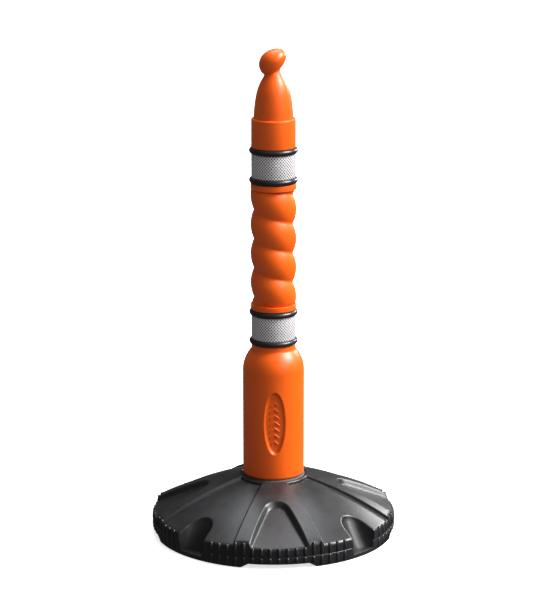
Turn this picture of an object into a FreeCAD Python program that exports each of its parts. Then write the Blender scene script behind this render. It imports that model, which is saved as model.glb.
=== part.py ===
"""Barrier post on a weighted base: an orange post in three mouldings, in a black four-armed base.

Millimetres, +Z up. The origin is on the floor, on the axis of the post. The front of the post,
with its oval recess, faces -Y. The four arms of the base point along +X, +Y, -X and -Y.
"""
import FreeCAD, Part
import Sketcher
import math
import os
import re

# ---------------------------------------------------------------------------- driving dimensions
SIZES = {
    # the base
    "base_radius": 249,  # rim of the base at the parting line
    "sole_inset": 5,  # how far the rim draws in down to the floor
    "parting_height": 25,
    "rim_height": 46,  # rim edge between the arms
    "rim_edge": 6,  # how far the rounded rim edge reaches in
    "dome_radius": 690,  # curve of the top, from the collar to the rim
    "lip_height": 122,  # crest of the collar
    "lip_rise": 6,  # from the top of the dome to that crest
    "collar_gap": 2.4,  # around the post
    "lip_width": 7,
    "arm_rise": 7.5,
    "arm_half_angle": 21.3,
    "base_wall": 4,
    "seat_depth": 6,  # from the crest of the collar down to its seat
    "hub_thickness": 16,  # the thick middle, which the socket is screwed to
    # arch recess in each arm
    "arch_border": 30.4,
    "arch_round": 27.2,
    "arch_depth": 12.5,
    "arch_draft": 7.5,
    "arch_drop": 30.5,  # from the crest of the collar to the recess floor at its inner end
    "arch_end": 40,  # height of the recess floor at the rim
    "arch_inner": 137,  # distance of the inner end from the axis
    # hand hold in the rim between the arms
    "hold_rise": 62,  # from the floor of the hold to its mouth
    "hold_depth": 56.5,
    "hold_foot_depth": 22,
    "hold_half_width": 39.5,
    "hold_foot_half_width": 32,
    "hold_round_depth": 0.53,  # share of the depth that the round inner end takes
    "hold_round_width": 0.78,  # share of the width where the round end meets the flanks
    # feet and the gaps between them
    "foot_height": 10,
    "gap_half_angle": 17.9,
    "foot_width": 72,
    "pan_floor": 4,
    "pad_depth": 2,
    "pad_proud": 1,
    "pad_inset": 32,
    "pad_width": 30,
    "pad_half_angle": 13,
    # ballast
    "ballast_bore": 40,
    "ballast_gap": 2.4,
    "ballast_chamfer": 15,
    # screws
    "screw_radius": 2.5,
    "screw_head_radius": 4.5,
    "screw_head_height": 3.5,
    "screw_bite": 14,
    "screw_end_gap": 1,
    "boss_radius": 7,
    "boss_inset": 36,
    "boss_half_angle": 18.5,
    "socket_screw_inset": 11,
    "socket_screw_bite": 10,
    # bayonet socket
    "socket_wall": 4,
    "socket_play": 0.2,
    "socket_floor": 4,
    "flange_width": 26,
    "flange_height": 6,
    "foot_ledge": 12.6,  # width of the post's foot around its spigot
    "spigot_length": 60,
    "spigot_gap": 0.4,
    "spigot_under": 4,
    "lug_reach": 5.5,
    "lug_height": 8,
    "lug_lift": 2,
    "lug_half_angle": 15,
    "slot_extra_angle": 2,
    "lug_gap": 0.5,
    # seal under the post
    "seal_height": 8,
    "seal_gap": 0.6,
    "seal_chamfer": 3,
    # lower post
    "post_radius": 62.6,
    "post_foot_round": 5,
    "post_barrel": 218,  # height of the straight barrel
    "shoulder_height": 49,
    "shoulder_round": 66,
    "flare_width": 2.5,  # hollow curve from the shoulder into the neck
    "flare_height": 6,
    "flare_round": 8,
    "neck_step": 1.1,  # how far the foot of the neck stands out from the neck
    "neck_foot": 7,
    "post_wall": 4,
    "badge_height": 120,
    "badge_half_height": 65.5,
    "badge_half_width": 21.5,
    "badge_depth": 5.5,
    # necks, rings and reflective sleeves
    "ring_bite": 5.5,  # how deep a ring sits in the neck
    "ring_proud": 5.5,  # how far it stands out from the neck
    "ring_tube": 6,
    "ring_play": 0.2,
    "ring_spacing": 60,
    "seat_wall": 3.2,  # between a ring's seat and the bore of the joint
    "sleeve_wall": 0.9,
    "joint_play": 0.5,
    # spigots between the mouldings
    "joint_bore": 35,
    "joint_gap": 0.6,
    "joint_length": 50,
    "joint_wall": 3.4,
    "o_ring_depth": 2,
    "o_ring_tube": 1.1,
    "o_ring_place": 30,
    # twisted middle post
    "twist_wall": 3.5,  # between the furrow and the bore of the joint
    "furrow_depth": 7.7,
    "twist_pitch": 60,
    "twist_crest": 3,
    "twist_length": 236,
    "twist_turn": 259.8,
    "collar_proud": 2.3,  # how far the collars stand out from the neck
    "collar_round": 1.5,
    "lower_collar": 11,
    "upper_collar": 12,
    # top
    "cap_proud": 1,  # how far the cap stands out from the neck
    "cap_height": 58,
    "cap_round": 3,
    "cap_edge": 1,
    "cap_shelf": 4.8,  # width of the shelf around the bottle
    "taper_top": 32.2,
    "taper_height": 58,
    "bottle_height": 32,
    "bottle_round": 90,
    "tip_neck": 16.2,
    "knob_long": 28.8,
    "knob_short": 18.8,
    "knob_tilt": 25,
    "knob_rise": 28,  # height of the knob's centre over the narrowest place of the neck
    "cap_wall": 4,
}

# Sizes that follow from the ones above.
WORKED = {
    "sole_radius": "base_radius - sole_inset",
    "foot_inner": "sole_radius - foot_width",
    "pad_inner": "sole_radius - pad_inset - pad_width",
    "hold_floor": "foot_height",
    "seat_height": "lip_height - seat_depth",
    "dome_height": "lip_height - lip_rise",
    "hub_under": "seat_height - hub_thickness",
    "arch_start": "lip_height - arch_drop",
    "arch_slope": "atan((arch_start - arch_end) / (base_radius - arch_inner)) / 1deg",
    "spigot_radius": "post_radius - foot_ledge",
    "socket_radius": "spigot_radius + lug_reach + lug_gap + socket_wall",
    "flange_radius": "socket_radius + flange_width",
    "socket_screw_circle": "flange_radius - socket_screw_inset",
    "collar_radius": "post_radius + collar_gap + lip_width",
    "post_foot": "seat_height + seal_height",
    "socket_base": "post_foot - spigot_length - spigot_under - socket_floor",
    "pan_top": "foot_height + pan_floor",
    "ballast_height": "socket_base - pan_top",
    "ring_seat_radius": "joint_bore + seat_wall",
    "neck_radius": "ring_seat_radius + ring_bite",
    "ring_radius": "neck_radius + ring_proud",
    "collar_band_radius": "neck_radius + collar_proud",
    "twist_valley": "joint_bore + twist_wall",
    "twist_radius": "twist_valley + furrow_depth",
    "cap_radius": "neck_radius + cap_proud",
    "taper_foot": "cap_radius - cap_shelf",
    "neck_foot_height": "post_barrel + shoulder_height",
    "lower_ring_height": "neck_foot_height + neck_foot + ring_tube + ring_play",
    "lower_face_height": "lower_ring_height + ring_spacing + ring_tube + joint_play",
    "middle_foot": "post_foot + lower_face_height",
    "middle_neck_height": "lower_collar + twist_length + upper_collar",
    "middle_ring_height": "middle_neck_height + ring_tube + ring_play",
    "middle_face_height": "middle_ring_height + ring_spacing + ring_tube + joint_play",
    "top_foot": "middle_foot + middle_face_height",
    "joint_spigot": "joint_bore - joint_gap",
    "knob_height": "cap_height + taper_height + bottle_height + knob_rise",
}

doc = FreeCAD.newDocument("barrier_post")
sheet = doc.addObject("Spreadsheet::Sheet", "Sizes")
for row, (name, number) in enumerate(SIZES.items(), start=1):
    sheet.set(f"A{row}", name)
    sheet.set(f"B{row}", str(number))
    sheet.setAlias(f"B{row}", name)
doc.recompute()

QUARTERS = (0, 90, 180, 270)
BEYOND = 40  # how far a cutter runs out past the rim or the twist
OVER = 1  # how far a drill or a pocket runs past the face that it opens
CUT_SHARE = 1.5  # how far up a hand hold's cutter goes, as a share of the hold's own rise
V = FreeCAD.Vector


def formula(text):
    """Turn a rule written in plain size names into a FreeCAD expression on the sheet."""

    def spell(word):
        name = word.group()
        if name in WORKED:
            return "(" + formula(WORKED[name]) + ")"
        return "Sizes." + name if name in SIZES else name

    return re.sub(r"[a-z][a-z_]*", spell, text)


def value(text):
    """Work out a rule written in size names."""
    return float(sheet.evalExpression(formula(text)))


def bind(item, prop, text):
    item.setExpression(prop, formula(text))


def place(item, height):
    """Stand a piece at a height on the axis."""
    item.Placement = FreeCAD.Placement(V(0, 0, value(height)), FreeCAD.Rotation())
    bind(item, "Placement.Base.z", height)
    return item


def centre_of(start, end, radius, turn):
    """Centre of the short arc from start to end: turn is 1 anticlockwise, -1 clockwise."""
    chord = end - start
    rise = math.sqrt(max(radius**2 - (chord.Length / 2) ** 2, 0))
    side = V(-chord.y, chord.x, 0).normalize()
    return (start + end) * 0.5 + side * (rise * turn)


def trace(sketch, corners):
    """Draw a closed outline. A corner is (x, y), or (x, y, radius, turn) where a round edge leaves it."""
    points = [V(value(corner[0]), value(corner[1]), 0) for corner in corners]
    ends = []
    for index, corner in enumerate(corners):
        start, end = points[index], points[(index + 1) % len(points)]
        if len(corner) == 2:
            edge = sketch.addGeometry(Part.LineSegment(start, end))
            ends.append((edge, 1, 2))
            continue
        radius, turn = value(corner[2]), corner[3]
        centre = centre_of(start, end, radius, turn)
        first, last = (start, end) if turn > 0 else (end, start)
        angles = [math.atan2(point.y - centre.y, point.x - centre.x) for point in (first, last)]
        edge = sketch.addGeometry(Part.ArcOfCircle(Part.Circle(centre, V(0, 0, 1), radius), *angles))
        ends.append((edge, 1, 2) if turn > 0 else (edge, 2, 1))
    for index, corner in enumerate(corners):
        edge, head, tail = ends[index]
        following = ends[(index + 1) % len(ends)]
        sketch.addConstraint(Sketcher.Constraint("Coincident", edge, tail, following[0], following[1]))
        for kind, rule, number in (
            ("DistanceX", corner[0], points[index].x),
            ("DistanceY", corner[1], points[index].y),
        ):
            row = sketch.addConstraint(Sketcher.Constraint(kind, -1, 1, edge, head, number))
            bind(sketch, f"Constraints[{row}]", rule)
        if len(corner) > 2:
            row = sketch.addConstraint(Sketcher.Constraint("Radius", edge, value(corner[2])))
            bind(sketch, f"Constraints[{row}]", corner[2])


def loose_sketch(name, corners, placement=None):
    """A sketch outside any body: upright in XZ unless it gets a placement."""
    sketch = doc.addObject("Sketcher::SketchObject", name)
    upright = FreeCAD.Placement(V(0, 0, 0), FreeCAD.Rotation(V(1, 0, 0), 90))
    sketch.Placement = upright if placement is None else placement
    trace(sketch, corners)
    return sketch


def body_sketch(body, name, plane, corners, offset=None):
    """A sketch on one of a body's own origin planes, pushed along the plane's normal by offset."""
    sketch = body.newObject("Sketcher::SketchObject", name)
    origin_plane = next(item for item in body.Origin.OriginFeatures if item.Role == plane)
    sketch.AttachmentSupport = (origin_plane, "")
    sketch.MapMode = "FlatFace"
    if offset:
        bind(sketch, "AttachmentOffset.Base.z", offset)
    trace(sketch, corners)
    return sketch


def turned(name, corners):
    """A body turned about Z from an outline of (radius, height) corners."""
    body = doc.addObject("PartDesign::Body", name)
    sketch = body_sketch(body, name + "_outline", "XZ_Plane", corners)
    spin = body.newObject("PartDesign::Revolution", name + "_turned")
    spin.Profile = sketch
    spin.ReferenceAxis = (sketch, ["V_Axis"])
    spin.Angle = 360
    return body


def swept(name, corners, start_angle=0, angle=360):
    """A Part solid swept about Z from an outline of (radius, height) corners."""
    outline = loose_sketch(name + "_outline", corners)
    solid = doc.addObject("Part::Revolution", name)
    solid.Source = outline
    solid.Axis = V(0, 0, 1)
    solid.Angle = angle
    solid.Solid = True
    solid.Placement = FreeCAD.Placement(V(0, 0, 0), FreeCAD.Rotation(V(0, 0, 1), start_angle))
    return solid


def sector(name, corners, half_angle, middle):
    """A swept outline that spans half_angle to each side of the direction middle, in degrees."""
    solid = swept(name, corners)
    bind(solid, "Angle", f"2 * {half_angle}")
    bind(solid, "Placement.Rotation.Angle", f"{middle} - {half_angle}")
    return solid


def cylinder(name, radius, low, high, distance="0", angle=0):
    """An upright cylinder from height low to height high, at a distance and angle from the axis."""
    solid = doc.addObject("Part::Cylinder", name)
    bind(solid, "Radius", radius)
    bind(solid, "Height", f"({high}) - ({low})")
    bind(solid, "Placement.Base.x", f"({distance}) * cos({angle} * 1deg)")
    bind(solid, "Placement.Base.y", f"({distance}) * sin({angle} * 1deg)")
    bind(solid, "Placement.Base.z", low)
    return solid


def fuse(name, solids):
    joined = doc.addObject("Part::MultiFuse", name)
    joined.Shapes = solids
    return joined


def cut(name, base, tool):
    left = doc.addObject("Part::Cut", name)
    left.Base = base
    left.Tool = tool
    return left


def common(name, base, tool):
    shared = doc.addObject("Part::Common", name)
    shared.Base = base
    shared.Tool = tool
    return shared


def group(name, solids):
    """Several separate solids in one node."""
    bunch = doc.addObject("Part::Compound", name)
    bunch.Links = solids
    return bunch


# ------------------------------------------------------------------------ cutters for the base
def arch_outline(name, spread, rise, turn):
    """The arch of one arm on a plane that slopes with the arm: a V with a round top, open at the rim.

    spread is how far this outline stands inside the arch's mouth, and rise lifts its plane."""
    lean = "sin(arm_half_angle * 1deg)"
    flank = "tan(arm_half_angle * 1deg)"
    slant = "cos(arch_slope * 1deg)"
    middle = f"(arch_round + arch_border) / {lean}"
    round_ = f"(arch_round - {spread})"
    touch_x = f"({middle} - {round_} * {lean}) / {slant}"
    touch_y = f"{round_} * cos(arm_half_angle * 1deg)"
    end_x = f"(base_radius + {BEYOND}) / {slant}"
    end_y = f"({touch_y} + (base_radius + {BEYOND} - {middle} + {round_} * {lean}) * {flank})"
    top_x = f"({middle} - {round_}) / {slant}"
    corners = [
        (end_x, f"-1 * {end_y}"),
        (end_x, end_y),
        (touch_x, touch_y, round_, 1),
        (top_x, "0", round_, 1),
        (touch_x, f"-1 * {touch_y}"),
    ]
    sketch = loose_sketch(name, corners, FreeCAD.Placement())
    height = f"arch_start + arch_inner * tan(arch_slope * 1deg) + ({rise}) * {slant}"
    shift = f"({rise}) * sin(arch_slope * 1deg)"
    tilt = FreeCAD.Rotation(V(0, 0, 1), turn) * FreeCAD.Rotation(V(0, 1, 0), value("arch_slope"))
    sketch.Placement = FreeCAD.Placement(V(0, 0, 0), tilt)
    bind(sketch, "Placement.Base.x", f"({shift}) * cos({turn} * 1deg)")
    bind(sketch, "Placement.Base.y", f"({shift}) * sin({turn} * 1deg)")
    bind(sketch, "Placement.Base.z", height)
    return sketch


def hold_outline(name, share, height, spread, turn):
    """The plan of a hand hold at one height: share is 0 at its foot and 1 at its mouth."""
    depth = f"(hold_foot_depth + (hold_depth - hold_foot_depth) * {share} + {spread})"
    width = f"(hold_foot_half_width + (hold_half_width - hold_foot_half_width) * {share} + {spread})"
    inner = f"base_radius - {depth}"
    run = f"({depth} * hold_round_depth)"
    side = f"({width} * hold_round_width)"
    round_ = f"({run} * {run} + {side} * {side}) / (2 * {run})"
    end_y = f"({width} + {BEYOND} * ({width} - {side}) / ({depth} - {run}))"
    corners = [
        (f"base_radius + {BEYOND}", f"-1 * {end_y}"),
        (f"base_radius + {BEYOND}", end_y),
        (f"{inner} + {run}", side, round_, 1),
        (inner, "0", round_, 1),
        (f"{inner} + {run}", f"-1 * {side}"),
    ]
    sketch = loose_sketch(name, corners, FreeCAD.Placement())
    sketch.Placement = FreeCAD.Placement(V(0, 0, 0), FreeCAD.Rotation(V(0, 0, 1), turn))
    bind(sketch, "Placement.Base.z", height)
    return sketch


def loft(name, sections):
    solid = doc.addObject("Part::Loft", name)
    solid.Sections = sections
    solid.Solid = True
    solid.Ruled = True
    return solid


def arch_cutters():
    """Drafted wedges that cut the four arch recesses."""
    cutters = []
    for turn in QUARTERS:
        low = arch_outline(f"arch_floor_{turn}", "arch_draft", "0", turn)
        high = arch_outline(f"arch_mouth_{turn}", "-1 * arch_draft", "2 * arch_depth", turn)
        cutters.append(loft(f"arch_cutter_{turn}", [low, high]))
    return cutters


def hold_cutters(label, spread, low):
    """Drafted wedges at the four hand holds, grown by spread, from height low upwards."""
    cutters = []
    for turn in QUARTERS:
        share = f"(({low} - hold_floor) / hold_rise)"
        foot = hold_outline(f"{label}_foot_{turn}", share, low, spread, turn + 45)
        top = f"hold_floor + {CUT_SHARE} * hold_rise"
        head = hold_outline(f"{label}_mouth_{turn}", str(CUT_SHARE), top, spread, turn + 45)
        cutters.append(loft(f"{label}_{turn}", [foot, head]))
    return cutters


# ------------------------------------------------------------------------------- base top shell
def dome_outline():
    """Outside of the top shell between the arms, from the socket's hole to the parting line."""
    return [
        ("socket_radius + socket_play", "parting_height"),
        ("base_radius", "parting_height"),
        ("base_radius", "rim_height - rim_edge", "rim_edge", 1),
        ("base_radius - rim_edge", "rim_height", "dome_radius", 1),
        ("collar_radius", "dome_height"),
        ("collar_radius", "lip_height - lip_width / 2", "lip_width / 2", 1),
        ("collar_radius - lip_width / 2", "lip_height", "lip_width / 2", 1),
        ("collar_radius - lip_width", "lip_height - lip_width / 2"),
        ("collar_radius - lip_width", "seat_height"),
        ("socket_radius + socket_play", "seat_height"),
    ]


def arm_outline():
    """Section of one arm, flush with the crest of the collar."""
    return [
        ("collar_radius - lip_width / 2", "parting_height"),
        ("base_radius", "parting_height"),
        ("base_radius", "rim_height + arm_rise - rim_edge", "rim_edge", 1),
        ("base_radius - rim_edge", "rim_height + arm_rise", "dome_radius", 1),
        ("collar_radius - lip_width / 2", "lip_height"),
    ]


def base_top_shell():
    outside = [swept("dome", dome_outline())]
    outside += [sector(f"arm_{turn}", arm_outline(), "arm_half_angle", turn) for turn in QUARTERS]
    slope = "tan(arch_slope * 1deg)"
    roof = f"arch_start - base_wall + arch_inner * {slope}"  # the roof's slope carried to the axis
    rim = "(base_radius - rim_edge)"
    space = swept("shell_space", [
        ("0", "pan_top"),
        (rim, "pan_top"),
        (rim, f"{roof} - {rim} * {slope}"),
        (f"({roof} - hub_under) / {slope}", "hub_under"),
        ("0", "hub_under"),
    ])
    walls = fuse("hold_walls", hold_cutters("hold_wall", "base_wall", "hold_floor"))
    bosses = fuse("bosses", [
        cylinder(f"boss_{turn}_{side}", "boss_radius", "pan_top",
                 f"{roof} + base_wall / 2 - (base_radius - boss_inset) * {slope}",
                 "base_radius - boss_inset", f"({turn + 45} + {side} * boss_half_angle)")
        for turn in QUARTERS for side in (-1, 1)
    ])
    filled = cut("shell_space_kept", space, walls)
    shell = cut("shell_hollow", fuse("shell_outside", outside), filled)
    cutters = fuse("shell_cutters", arch_cutters() + hold_cutters("hold_cutter", "0", "hold_floor"))
    opened = cut("shell_opened", shell, cutters)
    holes = [
        cylinder(f"boss_hole_{turn}_{side}", "screw_radius", f"pan_top - {OVER}", "pan_top + screw_bite",
                 "base_radius - boss_inset", f"({turn + 45} + {side} * boss_half_angle)")
        for turn in QUARTERS for side in (-1, 1)
    ]
    holes += [
        cylinder(f"hub_hole_{turn}", "screw_radius", f"hub_under - {OVER}",
                 "hub_under + socket_screw_bite",
                 "socket_screw_circle", str(turn + 45))
        for turn in QUARTERS
    ]
    return cut("base_top_shell", fuse("shell_with_bosses", [opened, bosses]), fuse("shell_holes", holes))


# ------------------------------------------------------------------------------ base bottom pan
def base_bottom_pan():
    """Floor plate and lower rim band, standing on four feet with a gap under each arm."""
    band = "base_radius - rim_edge"
    sole = "foot_height * (base_radius - sole_radius) / parting_height"
    tray = swept("tray", [
        ("0", "foot_height"),
        (f"sole_radius + {sole}", "foot_height"),
        ("base_radius", "parting_height"),
        (band, "parting_height"),
        (band, "pan_top"),
        ("0", "pan_top"),
    ])
    feet = [
        sector(f"foot_{turn}", [
            ("foot_inner", "pad_proud"),
            (f"sole_radius + {sole} * pad_proud / foot_height", "pad_proud"),
            (f"sole_radius + {sole}", "foot_height"),
            ("foot_inner", "foot_height"),
        ], "(45 - gap_half_angle)", turn + 45)
        for turn in QUARTERS
    ]
    band_space = swept("pan_band_space", [
        ("0", "foot_height"),
        (f"sole_radius + {sole}", "foot_height"),
        ("base_radius", "parting_height"),
        ("0", "parting_height"),
    ])
    blocks = fuse("pan_wall_blocks", hold_cutters("pan_wall", "base_wall", "hold_floor"))
    walls = common("pan_hold_walls", blocks, band_space)
    solid = fuse("pan_solid", [tray, walls] + feet)
    pockets = hold_cutters("pan_hold", "0", "hold_floor")
    pockets += [
        sector(f"pad_pocket_{turn}", pad_outline(), "pad_half_angle", turn + 45) for turn in QUARTERS
    ]
    for turn in QUARTERS:
        for side in (-1, 1):
            spot = ("base_radius - boss_inset", f"({turn + 45} + {side} * boss_half_angle)")
            pockets.append(cylinder(f"pan_hole_{turn}_{side}", "screw_radius", "0",
                                    f"pan_top + {OVER}", *spot))
            pockets.append(cylinder(f"pan_counterbore_{turn}_{side}", "screw_head_radius", "0",
                                    "foot_height", *spot))
    return cut("base_bottom_pan", solid, fuse("pan_pockets", pockets))


def pad_outline():
    return [
        ("pad_inner", "0"),
        ("pad_inner + pad_width", "0"),
        ("pad_inner + pad_width", "pad_proud + pad_depth"),
        ("pad_inner", "pad_proud + pad_depth"),
    ]


def foot_pads():
    return group("foot_pads", [
        sector(f"pad_{turn}", pad_outline(), "pad_half_angle", turn + 45) for turn in QUARTERS
    ])


def base_ballast():
    reach = "base_radius - hold_depth - base_wall - ballast_gap"
    return place(turned("base_ballast", [
        ("ballast_bore", "0"),
        (reach, "0"),
        (reach, "ballast_height - ballast_chamfer"),
        (f"{reach} - ballast_chamfer", "ballast_height"),
        ("ballast_bore", "ballast_height"),
    ]), "pan_top")


def screw(name, length, low, distance, angle):
    """A pan-head screw that points up from height low."""
    head = cylinder(name + "_head", "screw_head_radius", f"{low} - screw_head_height", low, distance, angle)
    shank = cylinder(name + "_shank", "screw_radius", low, f"{low} + {length}", distance, angle)
    return fuse(name, [head, shank])


def base_screws():
    return group("base_screws", [
        screw(f"base_screw_{turn}_{side}", "pan_floor + screw_bite - screw_end_gap", "foot_height",
              "base_radius - boss_inset", f"({turn + 45} + {side} * boss_half_angle)")
        for turn in QUARTERS for side in (-1, 1)
    ])


# --------------------------------------------------------------------------------- post socket
def post_socket():
    """Bayonet cup: four slots let the lugs of the post down to a track, where they turn and lock."""
    cup = swept("socket_cup", [
        ("0", "socket_base"),
        ("socket_radius", "socket_base"),
        ("socket_radius", "hub_under - flange_height"),
        ("flange_radius", "hub_under - flange_height"),
        ("flange_radius", "hub_under"),
        ("socket_radius", "hub_under"),
        ("socket_radius", "seat_height"),
        ("0", "seat_height"),
    ])
    track_top = "post_foot - spigot_length + lug_lift + lug_height + lug_gap"
    bore = cylinder("socket_bore", "spigot_radius + spigot_gap", "socket_base + socket_floor", "post_foot")
    track = cylinder("socket_track", "spigot_radius + lug_reach + lug_gap",
                     "socket_base + socket_floor", track_top)
    slots = [
        sector(f"slot_{turn}", [
            ("spigot_radius - lug_reach", f"{track_top} - {OVER}"),
            ("spigot_radius + lug_reach + lug_gap", f"{track_top} - {OVER}"),
            ("spigot_radius + lug_reach + lug_gap", "post_foot"),
            ("spigot_radius - lug_reach", "post_foot"),
        ], "(lug_half_angle + slot_extra_angle)", turn)
        for turn in QUARTERS
    ]
    holes = [
        cylinder(f"flange_hole_{turn}", "screw_radius", f"hub_under - flange_height - {OVER}",
                 f"hub_under + {OVER}", "socket_screw_circle", str(turn + 45))
        for turn in QUARTERS
    ]
    return cut("post_socket", cup, fuse("socket_cuts", [bore, track] + slots + holes))


def socket_screws():
    return group("socket_screws", [
        screw(f"socket_screw_{turn}", "flange_height + socket_screw_bite - screw_end_gap",
              "hub_under - flange_height", "socket_screw_circle", str(turn + 45))
        for turn in QUARTERS
    ])


def post_seal():
    """Rubber ring in the collar, which the post stands on."""
    rim = "collar_radius - lip_width - seal_gap"
    return place(turned("post_seal", [
        ("spigot_radius + spigot_gap", "0"),
        (rim, "0"),
        (rim, "seal_height - seal_chamfer"),
        (f"{rim} - seal_chamfer", "seal_height"),
        ("spigot_radius + spigot_gap", "seal_height"),
    ]), "seat_height")


# --------------------------------------------------------------------------- the post's mouldings
def lower_post():
    """Bottle-shaped moulding: spigot with lugs, barrel with an oval recess, shoulder, neck and spigot."""
    body = turned("lower_post_turned", [
        ("0", "-1 * spigot_length"),
        ("spigot_radius", "-1 * spigot_length"),
        ("spigot_radius", "0"),
        ("post_radius - post_foot_round", "0", "post_foot_round", 1),
        ("post_radius", "post_foot_round"),
        ("post_radius", "post_barrel", "shoulder_round", 1),
        ("neck_radius + neck_step + flare_width", "neck_foot_height - flare_height", "flare_round", -1),
        ("neck_radius + neck_step", "neck_foot_height"),
        ("neck_radius + neck_step", "lower_ring_height - ring_tube - ring_play"),
        ("ring_seat_radius", "lower_ring_height - ring_tube - ring_play"),
        ("ring_seat_radius", "lower_ring_height + ring_tube + ring_play"),
        ("neck_radius", "lower_ring_height + ring_tube + ring_play"),
        ("neck_radius", "lower_ring_height + ring_spacing - ring_tube - ring_play"),
        ("ring_seat_radius", "lower_ring_height + ring_spacing - ring_tube - ring_play"),
        ("ring_seat_radius", "lower_face_height"),
        ("joint_spigot", "lower_face_height"),
        ("joint_spigot", "lower_face_height + joint_length"),
        ("0", "lower_face_height + joint_length"),
    ])
    hollow = body_sketch(body, "lower_bore_outline", "XZ_Plane", [
        ("0", "post_wall - spigot_length"),
        ("spigot_radius - post_wall", "post_wall - spigot_length"),
        ("spigot_radius - post_wall", "post_wall"),
        ("post_radius - post_wall", "post_wall * 2"),
        ("post_radius - post_wall", "post_barrel", "shoulder_round - post_wall", 1),
        ("neck_radius", "neck_foot_height - 2 * post_wall"),
        ("joint_spigot - joint_wall", "neck_foot_height + neck_foot"),
        ("joint_spigot - joint_wall", f"lower_face_height + joint_length + {OVER}"),
        ("0", f"lower_face_height + joint_length + {OVER}"),
    ])
    bore = body.newObject("PartDesign::Groove", "lower_bore")
    bore.Profile = hollow
    bore.ReferenceAxis = (hollow, ["V_Axis"])
    bore.Angle = 360
    backing = oval("badge_backing", "post_wall", "post_radius - badge_depth - post_wall",
                   "post_radius - badge_depth / 2")
    recess = oval("badge_recess", "0", "post_radius - badge_depth", f"post_radius + {OVER}")
    lug_low = "lug_lift - spigot_length"
    lugs = [
        sector(f"lug_{turn}", [
            ("spigot_radius - post_wall", lug_low),
            ("spigot_radius + lug_reach", lug_low),
            ("spigot_radius + lug_reach", f"{lug_low} + lug_height"),
            ("spigot_radius - post_wall", f"{lug_low} + lug_height"),
        ], "lug_half_angle", turn)
        for turn in QUARTERS
    ]
    groove = o_ring_groove("lower_joint_groove", "lower_face_height + o_ring_place")
    solid = fuse("lower_post_solid", [body, backing] + lugs)
    return place(cut("lower_post", solid, fuse("lower_post_cuts", [recess, groove])), "post_foot")


def oval(name, spread, near, far):
    """An upright oval block in front of the axis, from the distance near to the distance far."""
    outline = doc.addObject("Part::Ellipse", name + "_outline")
    bind(outline, "MajorRadius", f"badge_half_height + {spread}")
    bind(outline, "MinorRadius", f"badge_half_width + {spread}")
    upright = FreeCAD.Rotation(V(0, 0, 1), V(0, 0, 0), V(0, -1, 0), "XZY")
    outline.Placement = FreeCAD.Placement(V(0, 0, 0), upright)
    bind(outline, "Placement.Base.y", f"-1 * ({near})")
    bind(outline, "Placement.Base.z", "badge_height")
    block = doc.addObject("Part::Extrusion", name)
    block.Base = outline
    block.DirMode = "Custom"
    block.Dir = V(0, -1, 0)
    block.Solid = True
    bind(block, "LengthFwd", f"({far}) - ({near})")
    return block


def o_ring_groove(name, height):
    """Ring-shaped cutter for the groove of an O-ring on a spigot."""
    half = "(o_ring_tube + ring_play)"
    return swept(name, [
        ("joint_spigot - o_ring_depth", f"{height} - {half}"),
        ("joint_bore", f"{height} - {half}"),
        ("joint_bore", f"{height} + {half}"),
        ("joint_spigot - o_ring_depth", f"{height} + {half}"),
    ])


def grip_ring(name, height, seat, crest, tube):
    """Rubber ring, flat where it grips its seat and round outside, around a centre line at height."""
    return place(turned(name, [
        (seat, f"-1 * {tube}"),
        (f"{crest} - {tube}", f"-1 * {tube}", tube, 1),
        (crest, "0", tube, 1),
        (f"{crest} - {tube}", tube),
        (seat, tube),
    ]), height)


def band_ring(name, height):
    """Thick ring beside a reflective sleeve."""
    return grip_ring(name, height, "ring_seat_radius", "ring_radius", "ring_tube")


def o_ring(name, height):
    """Thin ring in the groove of a spigot, a little proud of it."""
    return grip_ring(name, height, "joint_spigot - o_ring_depth", "joint_bore - joint_gap / 2", "o_ring_tube")


def reflective_sleeve(name, ring_height):
    """Sleeve of reflective sheeting on the neck between two rings."""
    edge = "(ring_tube + 2 * ring_play)"
    return place(turned(name, [
        ("neck_radius", edge),
        ("neck_radius + sleeve_wall", edge),
        ("neck_radius + sleeve_wall", f"ring_spacing - {edge}"),
        ("neck_radius", f"ring_spacing - {edge}"),
    ]), ring_height)


def neck_outline(ring_height, face_height):
    """Outside of a neck with its two ring seats, and of the spigot above it."""
    return [
        ("ring_seat_radius", f"{ring_height} - ring_tube - ring_play"),
        ("ring_seat_radius", f"{ring_height} + ring_tube + ring_play"),
        ("neck_radius", f"{ring_height} + ring_tube + ring_play"),
        ("neck_radius", f"{ring_height} + ring_spacing - ring_tube - ring_play"),
        ("ring_seat_radius", f"{ring_height} + ring_spacing - ring_tube - ring_play"),
        ("ring_seat_radius", face_height),
        ("joint_spigot", face_height),
        ("joint_spigot", f"{face_height} + joint_length"),
    ]


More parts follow.
